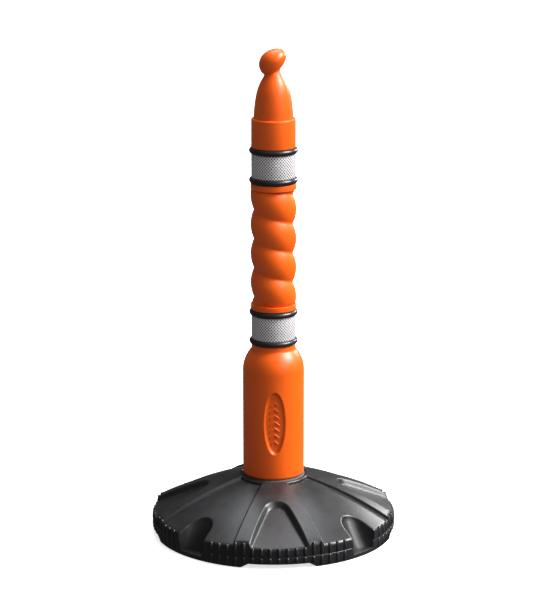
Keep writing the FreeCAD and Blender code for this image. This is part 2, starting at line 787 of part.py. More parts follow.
def middle_post():
    """Twisted moulding: one left-handed bulge winds up it between two collars, under a neck."""
    body = turned("middle_post_turned", [
        ("joint_bore", "0"),
        ("collar_band_radius - collar_round", "0"),
        ("collar_band_radius", "collar_round"),
        ("collar_band_radius", "lower_collar - collar_round"),
        ("collar_band_radius - collar_round", "lower_collar"),
        ("twist_radius", "lower_collar"),
        ("twist_radius", "lower_collar + twist_length"),
        ("collar_band_radius - collar_round", "lower_collar + twist_length"),
        ("collar_band_radius", "lower_collar + twist_length + collar_round"),
        ("collar_band_radius", "middle_neck_height"),
    ] + neck_outline("middle_ring_height", "middle_face_height") + [
        ("joint_spigot - joint_wall", "middle_face_height + joint_length"),
        ("joint_spigot - joint_wall", "lower_collar + twist_length"),
        ("joint_bore", "lower_collar + twist_length - 2 * joint_wall"),
    ])
    twisted = cut("middle_post_twisted", body, common("twist_furrow_trimmed", furrow_sweep(), swept(
        "twist_space", [
            ("joint_bore", "lower_collar"),
            (f"twist_radius + {BEYOND}", "lower_collar"),
            (f"twist_radius + {BEYOND}", "lower_collar + twist_length"),
            ("joint_bore", "lower_collar + twist_length"),
        ])))
    groove = o_ring_groove("upper_joint_groove", "middle_face_height + o_ring_place")
    return place(cut("middle_post", twisted, groove), "middle_foot")


def furrow_sweep():
    """The furrow between two turns of the bulge, wound left-handed past both collars."""
    path = doc.addObject("Part::Helix", "twist_path")
    path.LocalCoord = "Left-handed"
    bind(path, "Pitch", "twist_pitch")
    bind(path, "Height", "twist_length + 2 * twist_pitch")
    bind(path, "Radius", "twist_radius")
    bind(path, "Placement.Base.z", "lower_collar - twist_pitch")
    start = "(lower_collar - twist_pitch)"
    reach = "((twist_pitch - twist_crest) / 2)"
    depth = "(twist_radius - twist_valley)"
    bulge = f"({reach} * {reach} + {depth} * {depth}) / (2 * {depth})"
    furrow = loose_sketch("twist_furrow", [
        (f"twist_radius + {OVER}", f"{start} - {reach}"),
        (f"twist_radius + {OVER}", f"{start} + {reach}"),
        ("twist_radius", f"{start} + {reach}", bulge, -1),
        ("twist_valley", start, bulge, -1),
        ("twist_radius", f"{start} - {reach}"),
    ])
    doc.recompute()
    sweep = doc.addObject("Part::Sweep", "twist_sweep")
    sweep.Sections = [furrow]
    sweep.Spine = (path, [f"Edge{number + 1}" for number in range(len(path.Shape.Edges))])
    sweep.Solid = True
    sweep.Frenet = True
    bind(sweep, "Placement.Rotation.Angle", "twist_turn")
    return sweep


def top_post():
    """Top moulding: cap over the spigot, tapered bottle and a slanted knob that tape or chain hangs on."""
    taper = "cap_height + taper_height"
    tip = f"{taper} + bottle_height"
    body = turned("top_post_turned", [
        ("joint_bore", "0"),
        ("cap_radius - cap_edge", "0"),
        ("cap_radius", "cap_edge"),
        ("cap_radius", "cap_height - cap_round", "cap_round", 1),
        ("cap_radius - cap_round", "cap_height"),
        ("taper_foot", "cap_height"),
        ("taper_top", taper, "bottle_round", 1),
        ("tip_neck", tip),
        ("tip_neck", "knob_height"),
        ("0", "knob_height"),
        ("0", taper),
        ("taper_top - 2 * cap_wall", taper),
        ("taper_foot - 2 * cap_wall", "cap_height"),
        ("joint_bore", "cap_height - 2 * cap_wall"),
    ])
    knob = doc.addObject("Part::Ellipsoid", "knob_form")
    bind(knob, "Radius1", "knob_short")
    bind(knob, "Radius2", "knob_long")
    bind(knob, "Radius3", "knob_long")
    knob.Placement = FreeCAD.Placement(V(0, 0, 0), FreeCAD.Rotation(V(0, -1, 0), value("knob_tilt")))
    bind(knob, "Placement.Base.z", "knob_height")
    bind(knob, "Placement.Rotation.Angle", "knob_tilt")
    return place(fuse("top_post", [body, knob]), "top_foot")


lower_ring = "post_foot + lower_ring_height"
upper_ring = "middle_foot + middle_ring_height"
NODES = [
    base_top_shell(),
    base_bottom_pan(),
    base_ballast(),
    base_screws(),
    foot_pads(),
    post_socket(),
    socket_screws(),
    post_seal(),
    lower_post(),
    band_ring("lower_band_bottom_ring", lower_ring),
    reflective_sleeve("lower_reflective_sleeve", lower_ring),
    band_ring("lower_band_top_ring", f"{lower_ring} + ring_spacing"),
    o_ring("lower_joint_o_ring", "middle_foot + o_ring_place"),
    middle_post(),
    band_ring("upper_band_bottom_ring", upper_ring),
    reflective_sleeve("upper_reflective_sleeve", upper_ring),
    band_ring("upper_band_top_ring", f"{upper_ring} + ring_spacing"),
    o_ring("upper_joint_o_ring", "top_foot + o_ring_place"),
    top_post(),
]
doc.recompute()

for item in doc.Objects:
    if "Invalid" in item.State or "Error" in item.State:
        raise SystemExit(f"{item.Name} failed: {item.State}")
os.makedirs("parts", exist_ok=True)
for node in NODES:
    if node.Shape.isNull() or not node.Shape.isValid():
        raise SystemExit(f"{node.Label} has no valid shape")
for node in NODES:
    box = node.Shape.optimalBoundingBox()
    print(f"{node.Label}: {len(node.Shape.Solids)} solid(s), {node.Shape.Volume / 1000:.1f} cm3, "
          f"z {box.ZMin:.1f} to {box.ZMax:.1f}, x to {box.XMax:.1f}")
    node.Shape.exportStep(f"parts/{node.Label}.step")
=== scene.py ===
# %% [markdown]
# # A barrier post on a weighted base
# This lesson dresses a finished CAD model. The real object is an orange plastic post in three
# mouldings, which stands in a black moulded base full of ballast. The CAD gives every piece its
# size, place and joints, so nothing here moves or resizes it. Each cell rebuilds one piece with
# the fillets, ribs and surface that catch the light, and hangs it on the body it moves with.

# %% Load the frame
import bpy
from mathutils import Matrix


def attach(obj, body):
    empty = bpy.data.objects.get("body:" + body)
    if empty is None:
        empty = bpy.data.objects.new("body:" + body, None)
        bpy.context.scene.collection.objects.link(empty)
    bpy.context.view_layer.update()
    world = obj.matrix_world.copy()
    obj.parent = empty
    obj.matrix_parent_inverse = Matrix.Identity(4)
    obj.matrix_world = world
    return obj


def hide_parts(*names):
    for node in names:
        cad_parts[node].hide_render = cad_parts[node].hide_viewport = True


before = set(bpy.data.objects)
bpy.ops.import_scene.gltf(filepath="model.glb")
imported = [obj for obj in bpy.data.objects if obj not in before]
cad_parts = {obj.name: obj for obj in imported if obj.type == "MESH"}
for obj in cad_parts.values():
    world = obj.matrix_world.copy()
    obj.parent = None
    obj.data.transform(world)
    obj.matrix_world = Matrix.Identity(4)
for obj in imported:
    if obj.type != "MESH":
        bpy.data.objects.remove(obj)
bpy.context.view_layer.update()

# %% Tools for the whole lesson
import math

import bmesh
import bpy
import numpy as np
from mathutils import Vector
from mathutils.geometry import delaunay_2d_cdt

MM = 0.001
scene = bpy.context.scene
scene.view_settings.view_transform = "Standard"

# %% [markdown]
# ## Camera
# A long lens far from the object keeps verticals nearly parallel. The camera stands a little to
# the left of the front and looks down by fourteen degrees.

# %% Camera
camera = bpy.data.objects.new("camera", bpy.data.cameras.new("camera"))
scene.collection.objects.link(camera)
scene.camera = camera
camera.data.sensor_width = 36
camera.data.lens = 149.2
camera.data.clip_end = 200
stand = math.radians(-2.5)
reach = 4.967
camera.location = (reach * math.sin(stand), -reach * math.cos(stand), 1.742)
camera.rotation_euler = (math.radians(90 - 14.3), 0, stand - math.radians(0.036))
print("camera at", [round(v, 3) for v in camera.location])

# %% [markdown]
# ## Studio
# A sun with a wide disc, high on the right, is the key: it lights the post evenly from top to
# bottom and leaves the left side in shade. A weaker and wider sun further forward softens where
# the shade begins. Two soft panels do the rest. The one overhead lies in the black base as a grey
# sheen, and the one behind on the right draws bright edges. A light points along its own -Z, so
# `to_track_quat` aims it.

# %% Lights
LIGHT_TARGET = Vector((0, 0, 0.4))
LIGHT_DISTANCE = 4.0


def aimed_light(name, kind, azimuth, elevation, power, size=(2.0, 2.0)):
    """A soft light aimed at the object. Azimuth 0 is in front and 90 is on the right."""
    light = bpy.data.lights.new(name, kind)
    light.energy = power
    if kind == "AREA":
        light.shape = "RECTANGLE"
        light.size, light.size_y = size
    lamp = bpy.data.objects.new(name, light)
    turn, rise = math.radians(azimuth), math.radians(elevation)
    away = Vector((math.sin(turn) * math.cos(rise), -math.cos(turn) * math.cos(rise), math.sin(rise)))
    lamp.location = LIGHT_TARGET + away * LIGHT_DISTANCE
    lamp.rotation_euler = away.to_track_quat("Z", "Y").to_euler()
    scene.collection.objects.link(lamp)
    return lamp


for name, azimuth, elevation, power, spread in (("key_light", 84, 43, 6.6, 28),
                                                ("fill_light", 50, 33, 1.15, 40)):
    lamp = aimed_light(name, "SUN", azimuth, elevation, power)
    lamp.data.angle = math.radians(spread)
overhead = aimed_light("overhead_light", "AREA", 174, 68, 98, size=(2.4, 2.4))
overhead.data.color = (0.91, 0.955, 1.0)
aimed_light("edge_light", "AREA", 138, 19, 75, size=(1.5, 1.0))

# %% World and floor
world = bpy.data.worlds.new("studio")
scene.world = world
world.use_nodes = True
sky = world.node_tree
background = sky.nodes["Background"]
ray = sky.nodes.new("ShaderNodeLightPath")
shades = [(0.24, 0.24, 0.24, 1)]
for kind, level in (("Is Glossy Ray", 0.08), ("Is Camera Ray", 1.0)):
    shade = sky.nodes.new("ShaderNodeMix")
    shade.data_type = "RGBA"
    if isinstance(shades[-1], tuple):
        shade.inputs["A"].default_value = shades[-1]
    else:
        sky.links.new(shades[-1], shade.inputs["A"])
    shade.inputs["B"].default_value = (level, level, level, 1)
    sky.links.new(ray.outputs[kind], shade.inputs["Factor"])
    shades.append(shade.outputs["Result"])
sky.links.new(shades[-1], background.inputs["Color"])


def new_material(name):
    """An empty material: its node tree and its Principled shader come with it."""
    material = bpy.data.materials.new(name)
    material.use_nodes = True
    shader = next(n for n in material.node_tree.nodes if n.type == "BSDF_PRINCIPLED")
    return material, material.node_tree, shader


floor_mesh = bpy.data.meshes.new("floor")
FLOOR_RADIUS, FLOOR_CORNERS = 60, 64
corners = [(FLOOR_RADIUS * math.cos(a), FLOOR_RADIUS * math.sin(a), 0)
           for a in np.linspace(0, 2 * math.pi, FLOOR_CORNERS, endpoint=False)]
floor_mesh.from_pydata(corners, [], [list(range(FLOOR_CORNERS))])
floor = bpy.data.objects.new("floor", floor_mesh)
scene.collection.objects.link(floor)
floor.location.z = -0.0002
floor.visible_glossy = False
floor.visible_diffuse = False
floor_paint, tree, shader = new_material("pale_floor")
shader.inputs["Base Color"].default_value = (0.93, 0.93, 0.93, 1)
shader.inputs["Roughness"].default_value = 0.9
shader.inputs["Specular IOR Level"].default_value = 0.1
shader.inputs["Emission Color"].default_value = (1, 1, 1, 1)
shader.inputs["Emission Strength"].default_value = 0.7
floor_mesh.materials.append(floor_paint)
print("floor radius", FLOOR_RADIUS, "m")

# %% [markdown]
# ## Finishes
# Every moulding has the same three effects in different amounts: a fine grain from the mould, faint
# handling scuffs and a little dust on what faces up. Each effect is a node group that is built
# once. A group only gives out masks and heights, and the shader stays in the material.
#
# Long sums of Math nodes are hard to read as links, so `Rule` lets them be written as formulas:
# adding two rules places one Math node.

# %% Formulas as nodes
class Rule:
    """A number inside a node tree. Each operation on it places one Math node."""

    def __init__(self, tree, socket):
        self.tree, self.socket = tree, socket

    def step(self, operation, *others):
        node = self.tree.nodes.new("ShaderNodeMath")
        node.operation = operation
        for slot, term in zip(node.inputs, (self, *others)):
            if isinstance(term, Rule):
                self.tree.links.new(term.socket, slot)
            else:
                slot.default_value = term
        return Rule(self.tree, node.outputs[0])

    def __add__(self, other):
        return self.step("ADD", other)

    def __sub__(self, other):
        return self.step("SUBTRACT", other)

    def __mul__(self, other):
        return self.step("MULTIPLY", other)

    def __truediv__(self, other):
        return self.step("DIVIDE", other)

    def held(self, low=0.0, high=1.0):
        """The number kept between low and high."""
        return self.step("MAXIMUM", low).step("MINIMUM", high)

    def ramp(self, low, high):
        """0 below low, 1 above high, and an even slope between them."""
        return ((self - low) / (high - low)).held()


print("Rule ready")

# %% Node groups for the finishes
def effect_group(name, inputs, output):
    """An empty shader group with a Vector input, the given numbers and one output."""
    group = bpy.data.node_groups.new(name, "ShaderNodeTree")
    group.interface.new_socket("Vector", in_out="INPUT", socket_type="NodeSocketVector")
    for label, start in inputs.items():
        socket = group.interface.new_socket(label, in_out="INPUT", socket_type="NodeSocketFloat")
        socket.default_value = start
    group.interface.new_socket(output, in_out="OUTPUT", socket_type="NodeSocketFloat")
    entry = group.nodes.new("NodeGroupInput")
    leave = group.nodes.new("NodeGroupOutput")
    return group, entry, leave


def noise(tree, vector, scale, detail=2.0, roughness=0.5):
    """A noise texture on a vector: scale is a number or a rule."""
    node = tree.nodes.new("ShaderNodeTexNoise")
    tree.links.new(vector, node.inputs["Vector"])
    if isinstance(scale, Rule):
        tree.links.new(scale.socket, node.inputs["Scale"])
    else:
        node.inputs["Scale"].default_value = scale
    node.inputs["Detail"].default_value = detail
    node.inputs["Roughness"].default_value = roughness
    return Rule(tree, node.outputs["Fac"])


mould_grain, entry, leave = effect_group("mould_grain", {"Scale": 900.0}, "Height")
fine = noise(mould_grain, entry.outputs["Vector"], Rule(mould_grain, entry.outputs["Scale"]), 3.0)
broad = noise(mould_grain, entry.outputs["Vector"], Rule(mould_grain, entry.outputs["Scale"]) / 45.0, 1.0)
mould_grain.links.new((fine * 0.8 + broad * 0.2).socket, leave.inputs["Height"])

scuffs, entry, leave = effect_group("handling_scuffs", {"Scale": 60.0, "Amount": 0.3}, "Mask")
streak = scuffs.nodes.new("ShaderNodeMapping")
streak.inputs["Scale"].default_value = (1.0, 1.0, 0.22)
streak.inputs["Rotation"].default_value = (0.35, 0.2, 0.0)
scuffs.links.new(entry.outputs["Vector"], streak.inputs["Vector"])
lines = noise(scuffs, streak.outputs["Vector"], Rule(scuffs, entry.outputs["Scale"]), 6.0, 0.75)
patches = noise(scuffs, entry.outputs["Vector"], 9.0, 2.0)
marks = lines.ramp(0.62, 0.72) * patches.ramp(0.45, 0.7) * Rule(scuffs, entry.outputs["Amount"])
scuffs.links.new(marks.socket, leave.inputs["Mask"])

dust, entry, leave = effect_group("settled_dust", {"Scale": 35.0, "Amount": 0.3}, "Mask")
facing = dust.nodes.new("ShaderNodeNewGeometry")
apart = dust.nodes.new("ShaderNodeSeparateXYZ")
dust.links.new(facing.outputs["Normal"], apart.inputs["Vector"])
cloud = noise(dust, entry.outputs["Vector"], Rule(dust, entry.outputs["Scale"]), 5.0, 0.65)
film = Rule(dust, apart.outputs["Z"]).ramp(0.35, 1.0) * cloud.ramp(0.35, 0.75)
dust.links.new((film * Rule(dust, entry.outputs["Amount"])).socket, leave.inputs["Mask"])
print("groups", [g.name for g in bpy.data.node_groups])

# %% A finish built from the groups
def place_group(tree, group, vector, **values):
    """Places a group in a material with its own values."""
    node = tree.nodes.new("ShaderNodeGroup")
    node.node_tree = group
    tree.links.new(vector, node.inputs["Vector"])
    for label, number in values.items():
        node.inputs[label].default_value = number
    return Rule(tree, node.outputs[0])


def blend_colour(tree, factor, first, second):
    """A colour between two: each is a plain colour or a socket."""
    node = tree.nodes.new("ShaderNodeMix")
    node.data_type = "RGBA"
    tree.links.new(factor.socket, node.inputs["Factor"])
    for slot, colour in (("A", first), ("B", second)):
        if isinstance(colour, tuple):
            node.inputs[slot].default_value = (*colour, 1)
        else:
            tree.links.new(colour, node.inputs[slot])
    return node.outputs["Result"]


def bump(tree, shader, height, distance):
    """Feeds a height to the shader as a bump of that depth."""
    node = tree.nodes.new("ShaderNodeBump")
    node.inputs["Strength"].default_value = 1.0
    node.inputs["Distance"].default_value = distance
    tree.links.new(height.socket, node.inputs["Height"])
    tree.links.new(node.outputs["Normal"], shader.inputs["Normal"])


def moulded_finish(name, colour, deep, rough, grain, depth, marks=0.3, marked=None, dusty=0.2, **sockets):
    """Moulded plastic or rubber: its colour drifts a little towards a deeper one."""
    material, tree, shader = new_material(name)
    spot = tree.nodes.new("ShaderNodeTexCoord").outputs["Object"]
    drift = noise(tree, spot, 14.0, 3.0)
    skin = place_group(tree, mould_grain, spot, Scale=grain)
    worn = place_group(tree, scuffs, spot, Amount=marks)
    dirt = place_group(tree, dust, spot, Amount=dusty)
    paint = blend_colour(tree, drift.ramp(0.3, 0.75), colour, deep)
    paint = blend_colour(tree, worn, paint, marked or tuple(0.5 * c + 0.25 for c in colour))
    paint = blend_colour(tree, dirt, paint, (0.42, 0.39, 0.35))
    tree.links.new(paint, shader.inputs["Base Color"])
    roughness = skin * 0.10 + drift * 0.06 + worn * 0.25 + dirt * 0.5 + (rough - 0.08)
    tree.links.new(roughness.held(0.05, 0.95).socket, shader.inputs["Roughness"])
    bump(tree, shader, skin, depth)
    for label, number in sockets.items():
        shader.inputs[label.replace("_", " ")].default_value = number
    return material


orange_plastic = moulded_finish("orange_plastic", (0.90, 0.122, 0.002), (0.84, 0.104, 0.002), 0.37, 1100,
                                0.00003, marks=0.10, marked=(0.95, 0.30, 0.10), dusty=0.03)
base_plastic = moulded_finish("base_plastic", (0.012, 0.012, 0.013), (0.017, 0.017, 0.019), 0.33, 700,
                              0.00006, marks=0.12, marked=(0.10, 0.10, 0.10), dusty=0.04)
ring_rubber = moulded_finish("ring_rubber", (0.012, 0.013, 0.014), (0.018, 0.019, 0.020), 0.30, 1500,
                             0.00002, marks=0.08, dusty=0.05)
seal_rubber = moulded_finish("seal_rubber", (0.016, 0.016, 0.016), (0.024, 0.024, 0.023), 0.62, 1300,
                             0.00004, marks=0.15, dusty=0.2)
ballast_plastic = moulded_finish("ballast_plastic", (0.045, 0.043, 0.040), (0.085, 0.080, 0.072), 0.60, 260,
                                 0.00030, marks=0.5, dusty=0.4)
socket_plastic = moulded_finish("socket_plastic", (0.16, 0.165, 0.17), (0.12, 0.125, 0.13), 0.42, 900,
                                0.00004, marks=0.25, dusty=0.1)
screw_steel = moulded_finish("screw_steel", (0.62, 0.61, 0.58), (0.48, 0.47, 0.44), 0.34, 2200, 0.00002,
                             marks=0.6, marked=(0.8, 0.8, 0.8), dusty=0.1, Metallic=1.0)
print("finishes", len(bpy.data.materials))

# %% [markdown]
# ## Reflective sheeting
# The sleeves are prismatic sheeting: a net of pale welded lines over silver cells that throw light
# back. Their sparkle is painted: the cells' base colour is lighter in random spots, as painted glints.
# The net is two sets of slanting lines. They are laid out on the distance around the sleeve
# and the height, both worked out from Object coordinates, so the pattern wraps without a seam
# where a whole number of cells goes round.

# %% Reflective film
CELLS_AROUND = 46
CELL_HEIGHT = 0.0066

reflective_film, tree, shader = new_material("reflective_film")
spot = tree.nodes.new("ShaderNodeTexCoord").outputs["Object"]
apart = tree.nodes.new("ShaderNodeSeparateXYZ")
tree.links.new(spot, apart.inputs["Vector"])
across = Rule(tree, apart.outputs["Y"]).step("ARCTAN2", Rule(tree, apart.outputs["X"]))
across = across * (CELLS_AROUND / (2 * math.pi))
upward = Rule(tree, apart.outputs["Z"]) / CELL_HEIGHT


def slanting_lines(across, upward):
    """0 on the middle of a cell and 1 on the line between two cells."""
    return ((across + upward).step("FRACT") - 0.5).step("ABSOLUTE") * 2.0


first, second = slanting_lines(across, upward), slanting_lines(across, upward * -1.0)
net = first.step("MAXIMUM", second).ramp(0.52, 0.80)
# Painted glints: this noise lightens the cells' base colour in random spots, standing in for light thrown
# back. It also varies roughness and bump.
painted_glints = noise(tree, spot, 420.0, 1.0)
cell = blend_colour(tree, painted_glints.ramp(0.35, 0.7), (0.10, 0.093, 0.105), (0.34, 0.32, 0.34))
tree.links.new(blend_colour(tree, net, cell, (0.90, 0.87, 0.88)), shader.inputs["Base Color"])
tree.links.new((net * -0.45 + 0.60).socket, shader.inputs["Metallic"])
tree.links.new((net * 0.22 + painted_glints * 0.15 + 0.22).socket, shader.inputs["Roughness"])
shader.inputs["Coat Weight"].default_value = 0.4
shader.inputs["Coat Roughness"].default_value = 0.12
bump(tree, shader, net * 0.6 + painted_glints * 0.4, 0.00035)
print("cells around the sleeve:", CELLS_AROUND)

# %% [markdown]
# ## Turned pieces
# Posts, rings and sleeves are round, so each is an outline turned about Z. A moulder never leaves a
# sharp edge, and a fillet is what catches a line of light, so `outline` rounds every corner that
# is given a radius before the outline is turned.

# %% Outlines and the lathe
def bend(before, corner, after, radius, count=6):
    """Points of the fillet that rounds one corner."""
    corner = np.array(corner, float)
    back, on = np.array(before, float) - corner, np.array(after, float) - corner
    room = min(np.linalg.norm(back), np.linalg.norm(on)) * 0.49
    back, on = back / np.linalg.norm(back), on / np.linalg.norm(on)
    half = math.acos(max(-1.0, min(1.0, float(back @ on)))) / 2
    along = min(radius / math.tan(half), room)
    radius = along * math.tan(half)
    centre = corner + (back + on) / np.linalg.norm(back + on) * (radius / math.sin(half))
    start, end = corner + back * along - centre, corner + on * along - centre
    sweep = math.pi - 2 * half
    points = []
    for share in np.linspace(0, 1, count):
        mix = (math.sin((1 - share) * sweep) * start + math.sin(share * sweep) * end) / math.sin(sweep)
        points.append(tuple(centre + mix))
    return points


def outline(corners):
    """A closed outline from corners (radius, height) or (radius, height, fillet)."""
    points = []
    for index, corner in enumerate(corners):
        if len(corner) == 3 and corner[2]:
            after = corners[(index + 1) % len(corners)]
            points += bend(corners[index - 1][:2], corner[:2], after[:2], corner[2])
        else:
            points.append(tuple(corner[:2]))
    return points


def arc(start, end, radius, count, side=1):
    """Points on the short arc between two points: side 1 bulges outwards, -1 inwards."""
    a, b = np.array(start, float), np.array(end, float)
    chord = b - a
    half = np.linalg.norm(chord) / 2
    across = np.array((chord[1], -chord[0])) / (2 * half)
    centre = (a + b) / 2 - across * math.sqrt(radius**2 - half**2) * side
    from_angle, to_angle = (math.atan2(*(p - centre)[::-1]) for p in (a, b))
    if to_angle - from_angle > math.pi:
        to_angle -= 2 * math.pi
    if from_angle - to_angle > math.pi:
        to_angle += 2 * math.pi
    return [tuple(centre + radius * np.array((math.cos(t), math.sin(t))))
            for t in np.linspace(from_angle, to_angle, count)]


def turn_outline(points, columns):
    """Vertices and faces of a closed outline turned about Z, in millimetres."""
    ring = np.linspace(0, 2 * math.pi, columns, endpoint=False)
    r, z = np.array(points, float).T
    grid = np.stack([np.outer(r, np.cos(ring)), np.outer(r, np.sin(ring)),
                     np.repeat(z[:, None], columns, 1)], -1).reshape(-1, 3)
    rows = len(points)
    faces = []
    for row in range(rows):
        nxt = (row + 1) % rows
        for col in range(columns):
            to = (col + 1) % columns
            faces.append((row * columns + col, row * columns + to, nxt * columns + to, nxt * columns + col))
    return grid, faces


print("a rounded square corner has", len(bend((0, 1), (0, 0), (1, 0), 0.2)), "points")

# %% From numbers to a finished piece
def clean_mesh(name, vertices, faces, material, smooth=38):
    """A closed mesh in metres: doubles merged, faces outwards, creases sharper than smooth kept."""
    mesh = bpy.data.meshes.new(name)
    mesh.from_pydata((np.array(vertices) * MM).tolist(), [], [list(f) for f in faces])
    work = bmesh.new()
    work.from_mesh(mesh)
    bmesh.ops.remove_doubles(work, verts=work.verts, dist=0.000004)
    bmesh.ops.dissolve_degenerate(work, edges=work.edges, dist=0.000002)
    bmesh.ops.recalc_face_normals(work, faces=work.faces)
    work.to_mesh(mesh)
    open_edges = sum(1 for e in work.edges if len(e.link_faces) != 2)
    triangles = sum(len(f.verts) - 2 for f in work.faces)
    work.free()
    mesh.shade_smooth()
    mesh.set_sharp_from_angle(angle=math.radians(smooth))
    mesh.materials.append(material)
    piece = bpy.data.objects.new(name, mesh)
    scene.collection.objects.link(piece)
    print(f"{name}: {triangles} triangles, {open_edges} open edges")
    return piece


def settle(piece, body, slot, *nodes):
    """Hangs a finished piece on its body, in place of the CAD nodes that it stands for."""
    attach(piece, body)
    if nodes:
        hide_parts(*nodes)


print("ready to build")

# %% [markdown]
# ## Rings and sleeves
# Four thick rubber rings lie in grooves on the two necks, with a sleeve of sheeting between each
# pair. A ring is round outside and flat where it grips. The sleeve is a thin tube with eased
# edges.

# %% Rings
RING_CREST, RING_TUBE, RING_SEAT = 49.2, 6.0, 38.2
NECK_RADIUS, SLEEVE_RADIUS, SLEEVE_INSET = 43.7, 44.6, 6.4
LOWER_RING, UPPER_RING, RING_SPACING = 404.2, 735.9, 60.0


def band_ring(height):
    """Outline of a ring: flat inside, half round outside."""
    middle = RING_CREST - RING_TUBE
    half_round = [(middle + RING_TUBE * math.cos(t), height + RING_TUBE * math.sin(t))
                  for t in np.linspace(-math.pi / 2, math.pi / 2, 21)]
    return outline([(RING_SEAT, height - RING_TUBE, 0.8)] + half_round
                   + [(RING_SEAT, height + RING_TUBE, 0.8)])


for body, height, low_name, top_name in (
    ("lower", LOWER_RING, "lower_band_bottom_ring", "lower_band_top_ring"),
    ("middle", UPPER_RING, "upper_band_bottom_ring", "upper_band_top_ring"),
):
    for node, level in ((low_name, height), (top_name, height + RING_SPACING)):
        ring = clean_mesh(node + "_rubber", *turn_outline(band_ring(level), 128), ring_rubber)
        settle(ring, body, "ring_rubber", node)

# %% Sleeves
for body, height, node in (("lower", LOWER_RING, "lower_reflective_sleeve"),
                           ("middle", UPPER_RING, "upper_reflective_sleeve")):
    low, high = height + SLEEVE_INSET, height + RING_SPACING - SLEEVE_INSET
    tube = outline([(NECK_RADIUS, low), (SLEEVE_RADIUS, low, 0.3), (SLEEVE_RADIUS, high, 0.3),
                    (NECK_RADIUS, high)])
    sleeve = clean_mesh(node + "_film", *turn_outline(tube, 160), reflective_film)
    settle(sleeve, body, "reflective_film", node)

# %% [markdown]
# ## A surface from a plan
# The base and the oval panel have shapes that a lathe can't give: recesses, steps and walls that
# lean. Seen in plan each is still a height over every point, so one tool makes both. Lines are
# drawn in the plan where the surface bends, and a few more beside them for each fillet. A
# constrained Delaunay triangulation fills the plan with triangles that never cross a line. Then
# each point is lifted to the height that a formula gives.

# %% Plans and lifting
def smooth_min(a, b, blend):
    """The lower of two heights with a rounded corner of about that size."""
    near = np.maximum(blend - np.abs(a - b), 0) / blend
    return np.minimum(a, b) - near**3 * blend / 6


def smooth_max(a, b, blend):
    return -smooth_min(-a, -b, blend)


def smooth_step(low, high, x):
    share = np.clip((x - low) / (high - low), 0, 1)
    return share * share * (3 - 2 * share)


def fill_plan(lines, loose, keep):
    """Triangles of a plan. Lines are never crossed, and keep picks the triangles by their middles."""
    points, edges = [], []
    for line in lines:
        start = len(points)
        points += [tuple(p) for p in line]
        edges += [(i, i + 1) for i in range(start, start + len(line) - 1)]
    points += [tuple(p) for p in loose]
    found = delaunay_2d_cdt([Vector(p) for p in points], edges, [], 0, 1e-4)
    flat = np.array([tuple(v) for v in found[0]])
    triangles = np.array(found[2])
    kept = triangles[keep(flat[triangles].mean(1))]
    used, renumbered = np.unique(kept, return_inverse=True)
    return flat[used], renumbered.reshape(-1, 3)


def closed_from_plan(flat, triangles, top, bottom, joined=None):
    """A solid between two heights over the same plan. Its edge gets walls, but not on the folds or
    between two points that are joined to something else."""
    joined = np.zeros(len(flat), bool) if joined is None else joined
    count = len(flat)
    vertices = np.vstack([np.column_stack([flat, top]), np.column_stack([flat, bottom])])
    faces = [tuple(t) for t in triangles] + [tuple(t[::-1] + count) for t in triangles]
    sides = {}
    for a, b, c in triangles:
        for edge in ((a, b), (b, c), (c, a)):
            sides[edge] = sides.get(edge, 0) + 1
    for a, b in sides:
        ends = flat[[a, b]]
        on_fold = min(np.abs(ends[:, 1]).max(), np.abs(ends[:, 0] - ends[:, 1]).max()) < 1e-3
        if (b, a) not in sides and not on_fold and not (joined[a] and joined[b]):
            faces.append((a, a + count, b + count, b))
    return vertices, faces


def eight_fold(vertices, faces):
    """Copies of one eighth of the base, mirrored and turned into the whole."""
    every, all_faces = [], []
    for quarter in range(4):
        turn = quarter * math.pi / 2
        cosine, sine = round(math.cos(turn)), round(math.sin(turn))
        for flip in (1, -1):
            x, y = vertices[:, 0], vertices[:, 1] * flip
            start = sum(len(v) for v in every)
            every.append(np.column_stack([x * cosine - y * sine, x * sine + y * cosine, vertices[:, 2]]))
            all_faces += [tuple(i + start for i in (f if flip == 1 else f[::-1])) for f in faces]
    return np.vstack(every), all_faces


print("plan tools ready")

# %% [markdown]
# ## The base in plan
# One eighth is enough: from the middle of an arm to the middle of a hand hold. The arm is a wedge
# that stands a step above the dome. A recess with a round top is sunk into it and runs out at
# the rim. The hand hold is a scoop in the rim whose walls lean outwards as they rise.

# %% Heights of the base
BASE_RADIUS, RIM = 249, 247.2
ARM_ANGLE = math.radians(21.3)
ARM_SIDE = np.array((math.cos(ARM_ANGLE), math.sin(ARM_ANGLE)))
ARCH_BORDER, ARCH_ROUND, ARCH_DEPTH, ARCH_DRAFT = 30.0, 27.2, 12.5, 7.5
ARCH_CENTRE = (ARCH_BORDER + ARCH_ROUND) / math.sin(ARM_ANGLE)
ARCH_HEIGHT, ARCH_START = 91.5, 137
ARCH_SLOPE = (ARCH_HEIGHT - 40.0) / (BASE_RADIUS - ARCH_START)
PARTING = 25.0
RIM_ROUND = 4.2


def dome_arc(r, inner, outer, radius=690.0):
    """Height of a shallow arc that falls from one point to another."""
    a, b = np.array(inner), np.array(outer)
    chord = b - a
    half = np.linalg.norm(chord) / 2
    centre = (a + b) / 2 + np.array((chord[1], -chord[0])) / (2 * half) * math.sqrt(radius**2 - half**2)
    return centre[1] + np.sqrt(np.maximum(radius**2 - (r - centre[0]) ** 2, 0))


def arm_distance(x, y):
    """How far a point lies inside the arm's edge."""
    return x * ARM_SIDE[1] - y * ARM_SIDE[0]


def arch_distance(x, y):
    """How far a point lies inside the mouth of the arch."""
    past = (x - ARCH_CENTRE) * ARM_SIDE[0] + y * ARM_SIDE[1]
    return np.where(past < 0, ARCH_ROUND - np.hypot(x - ARCH_CENTRE, y), arm_distance(x, y) - ARCH_BORDER)


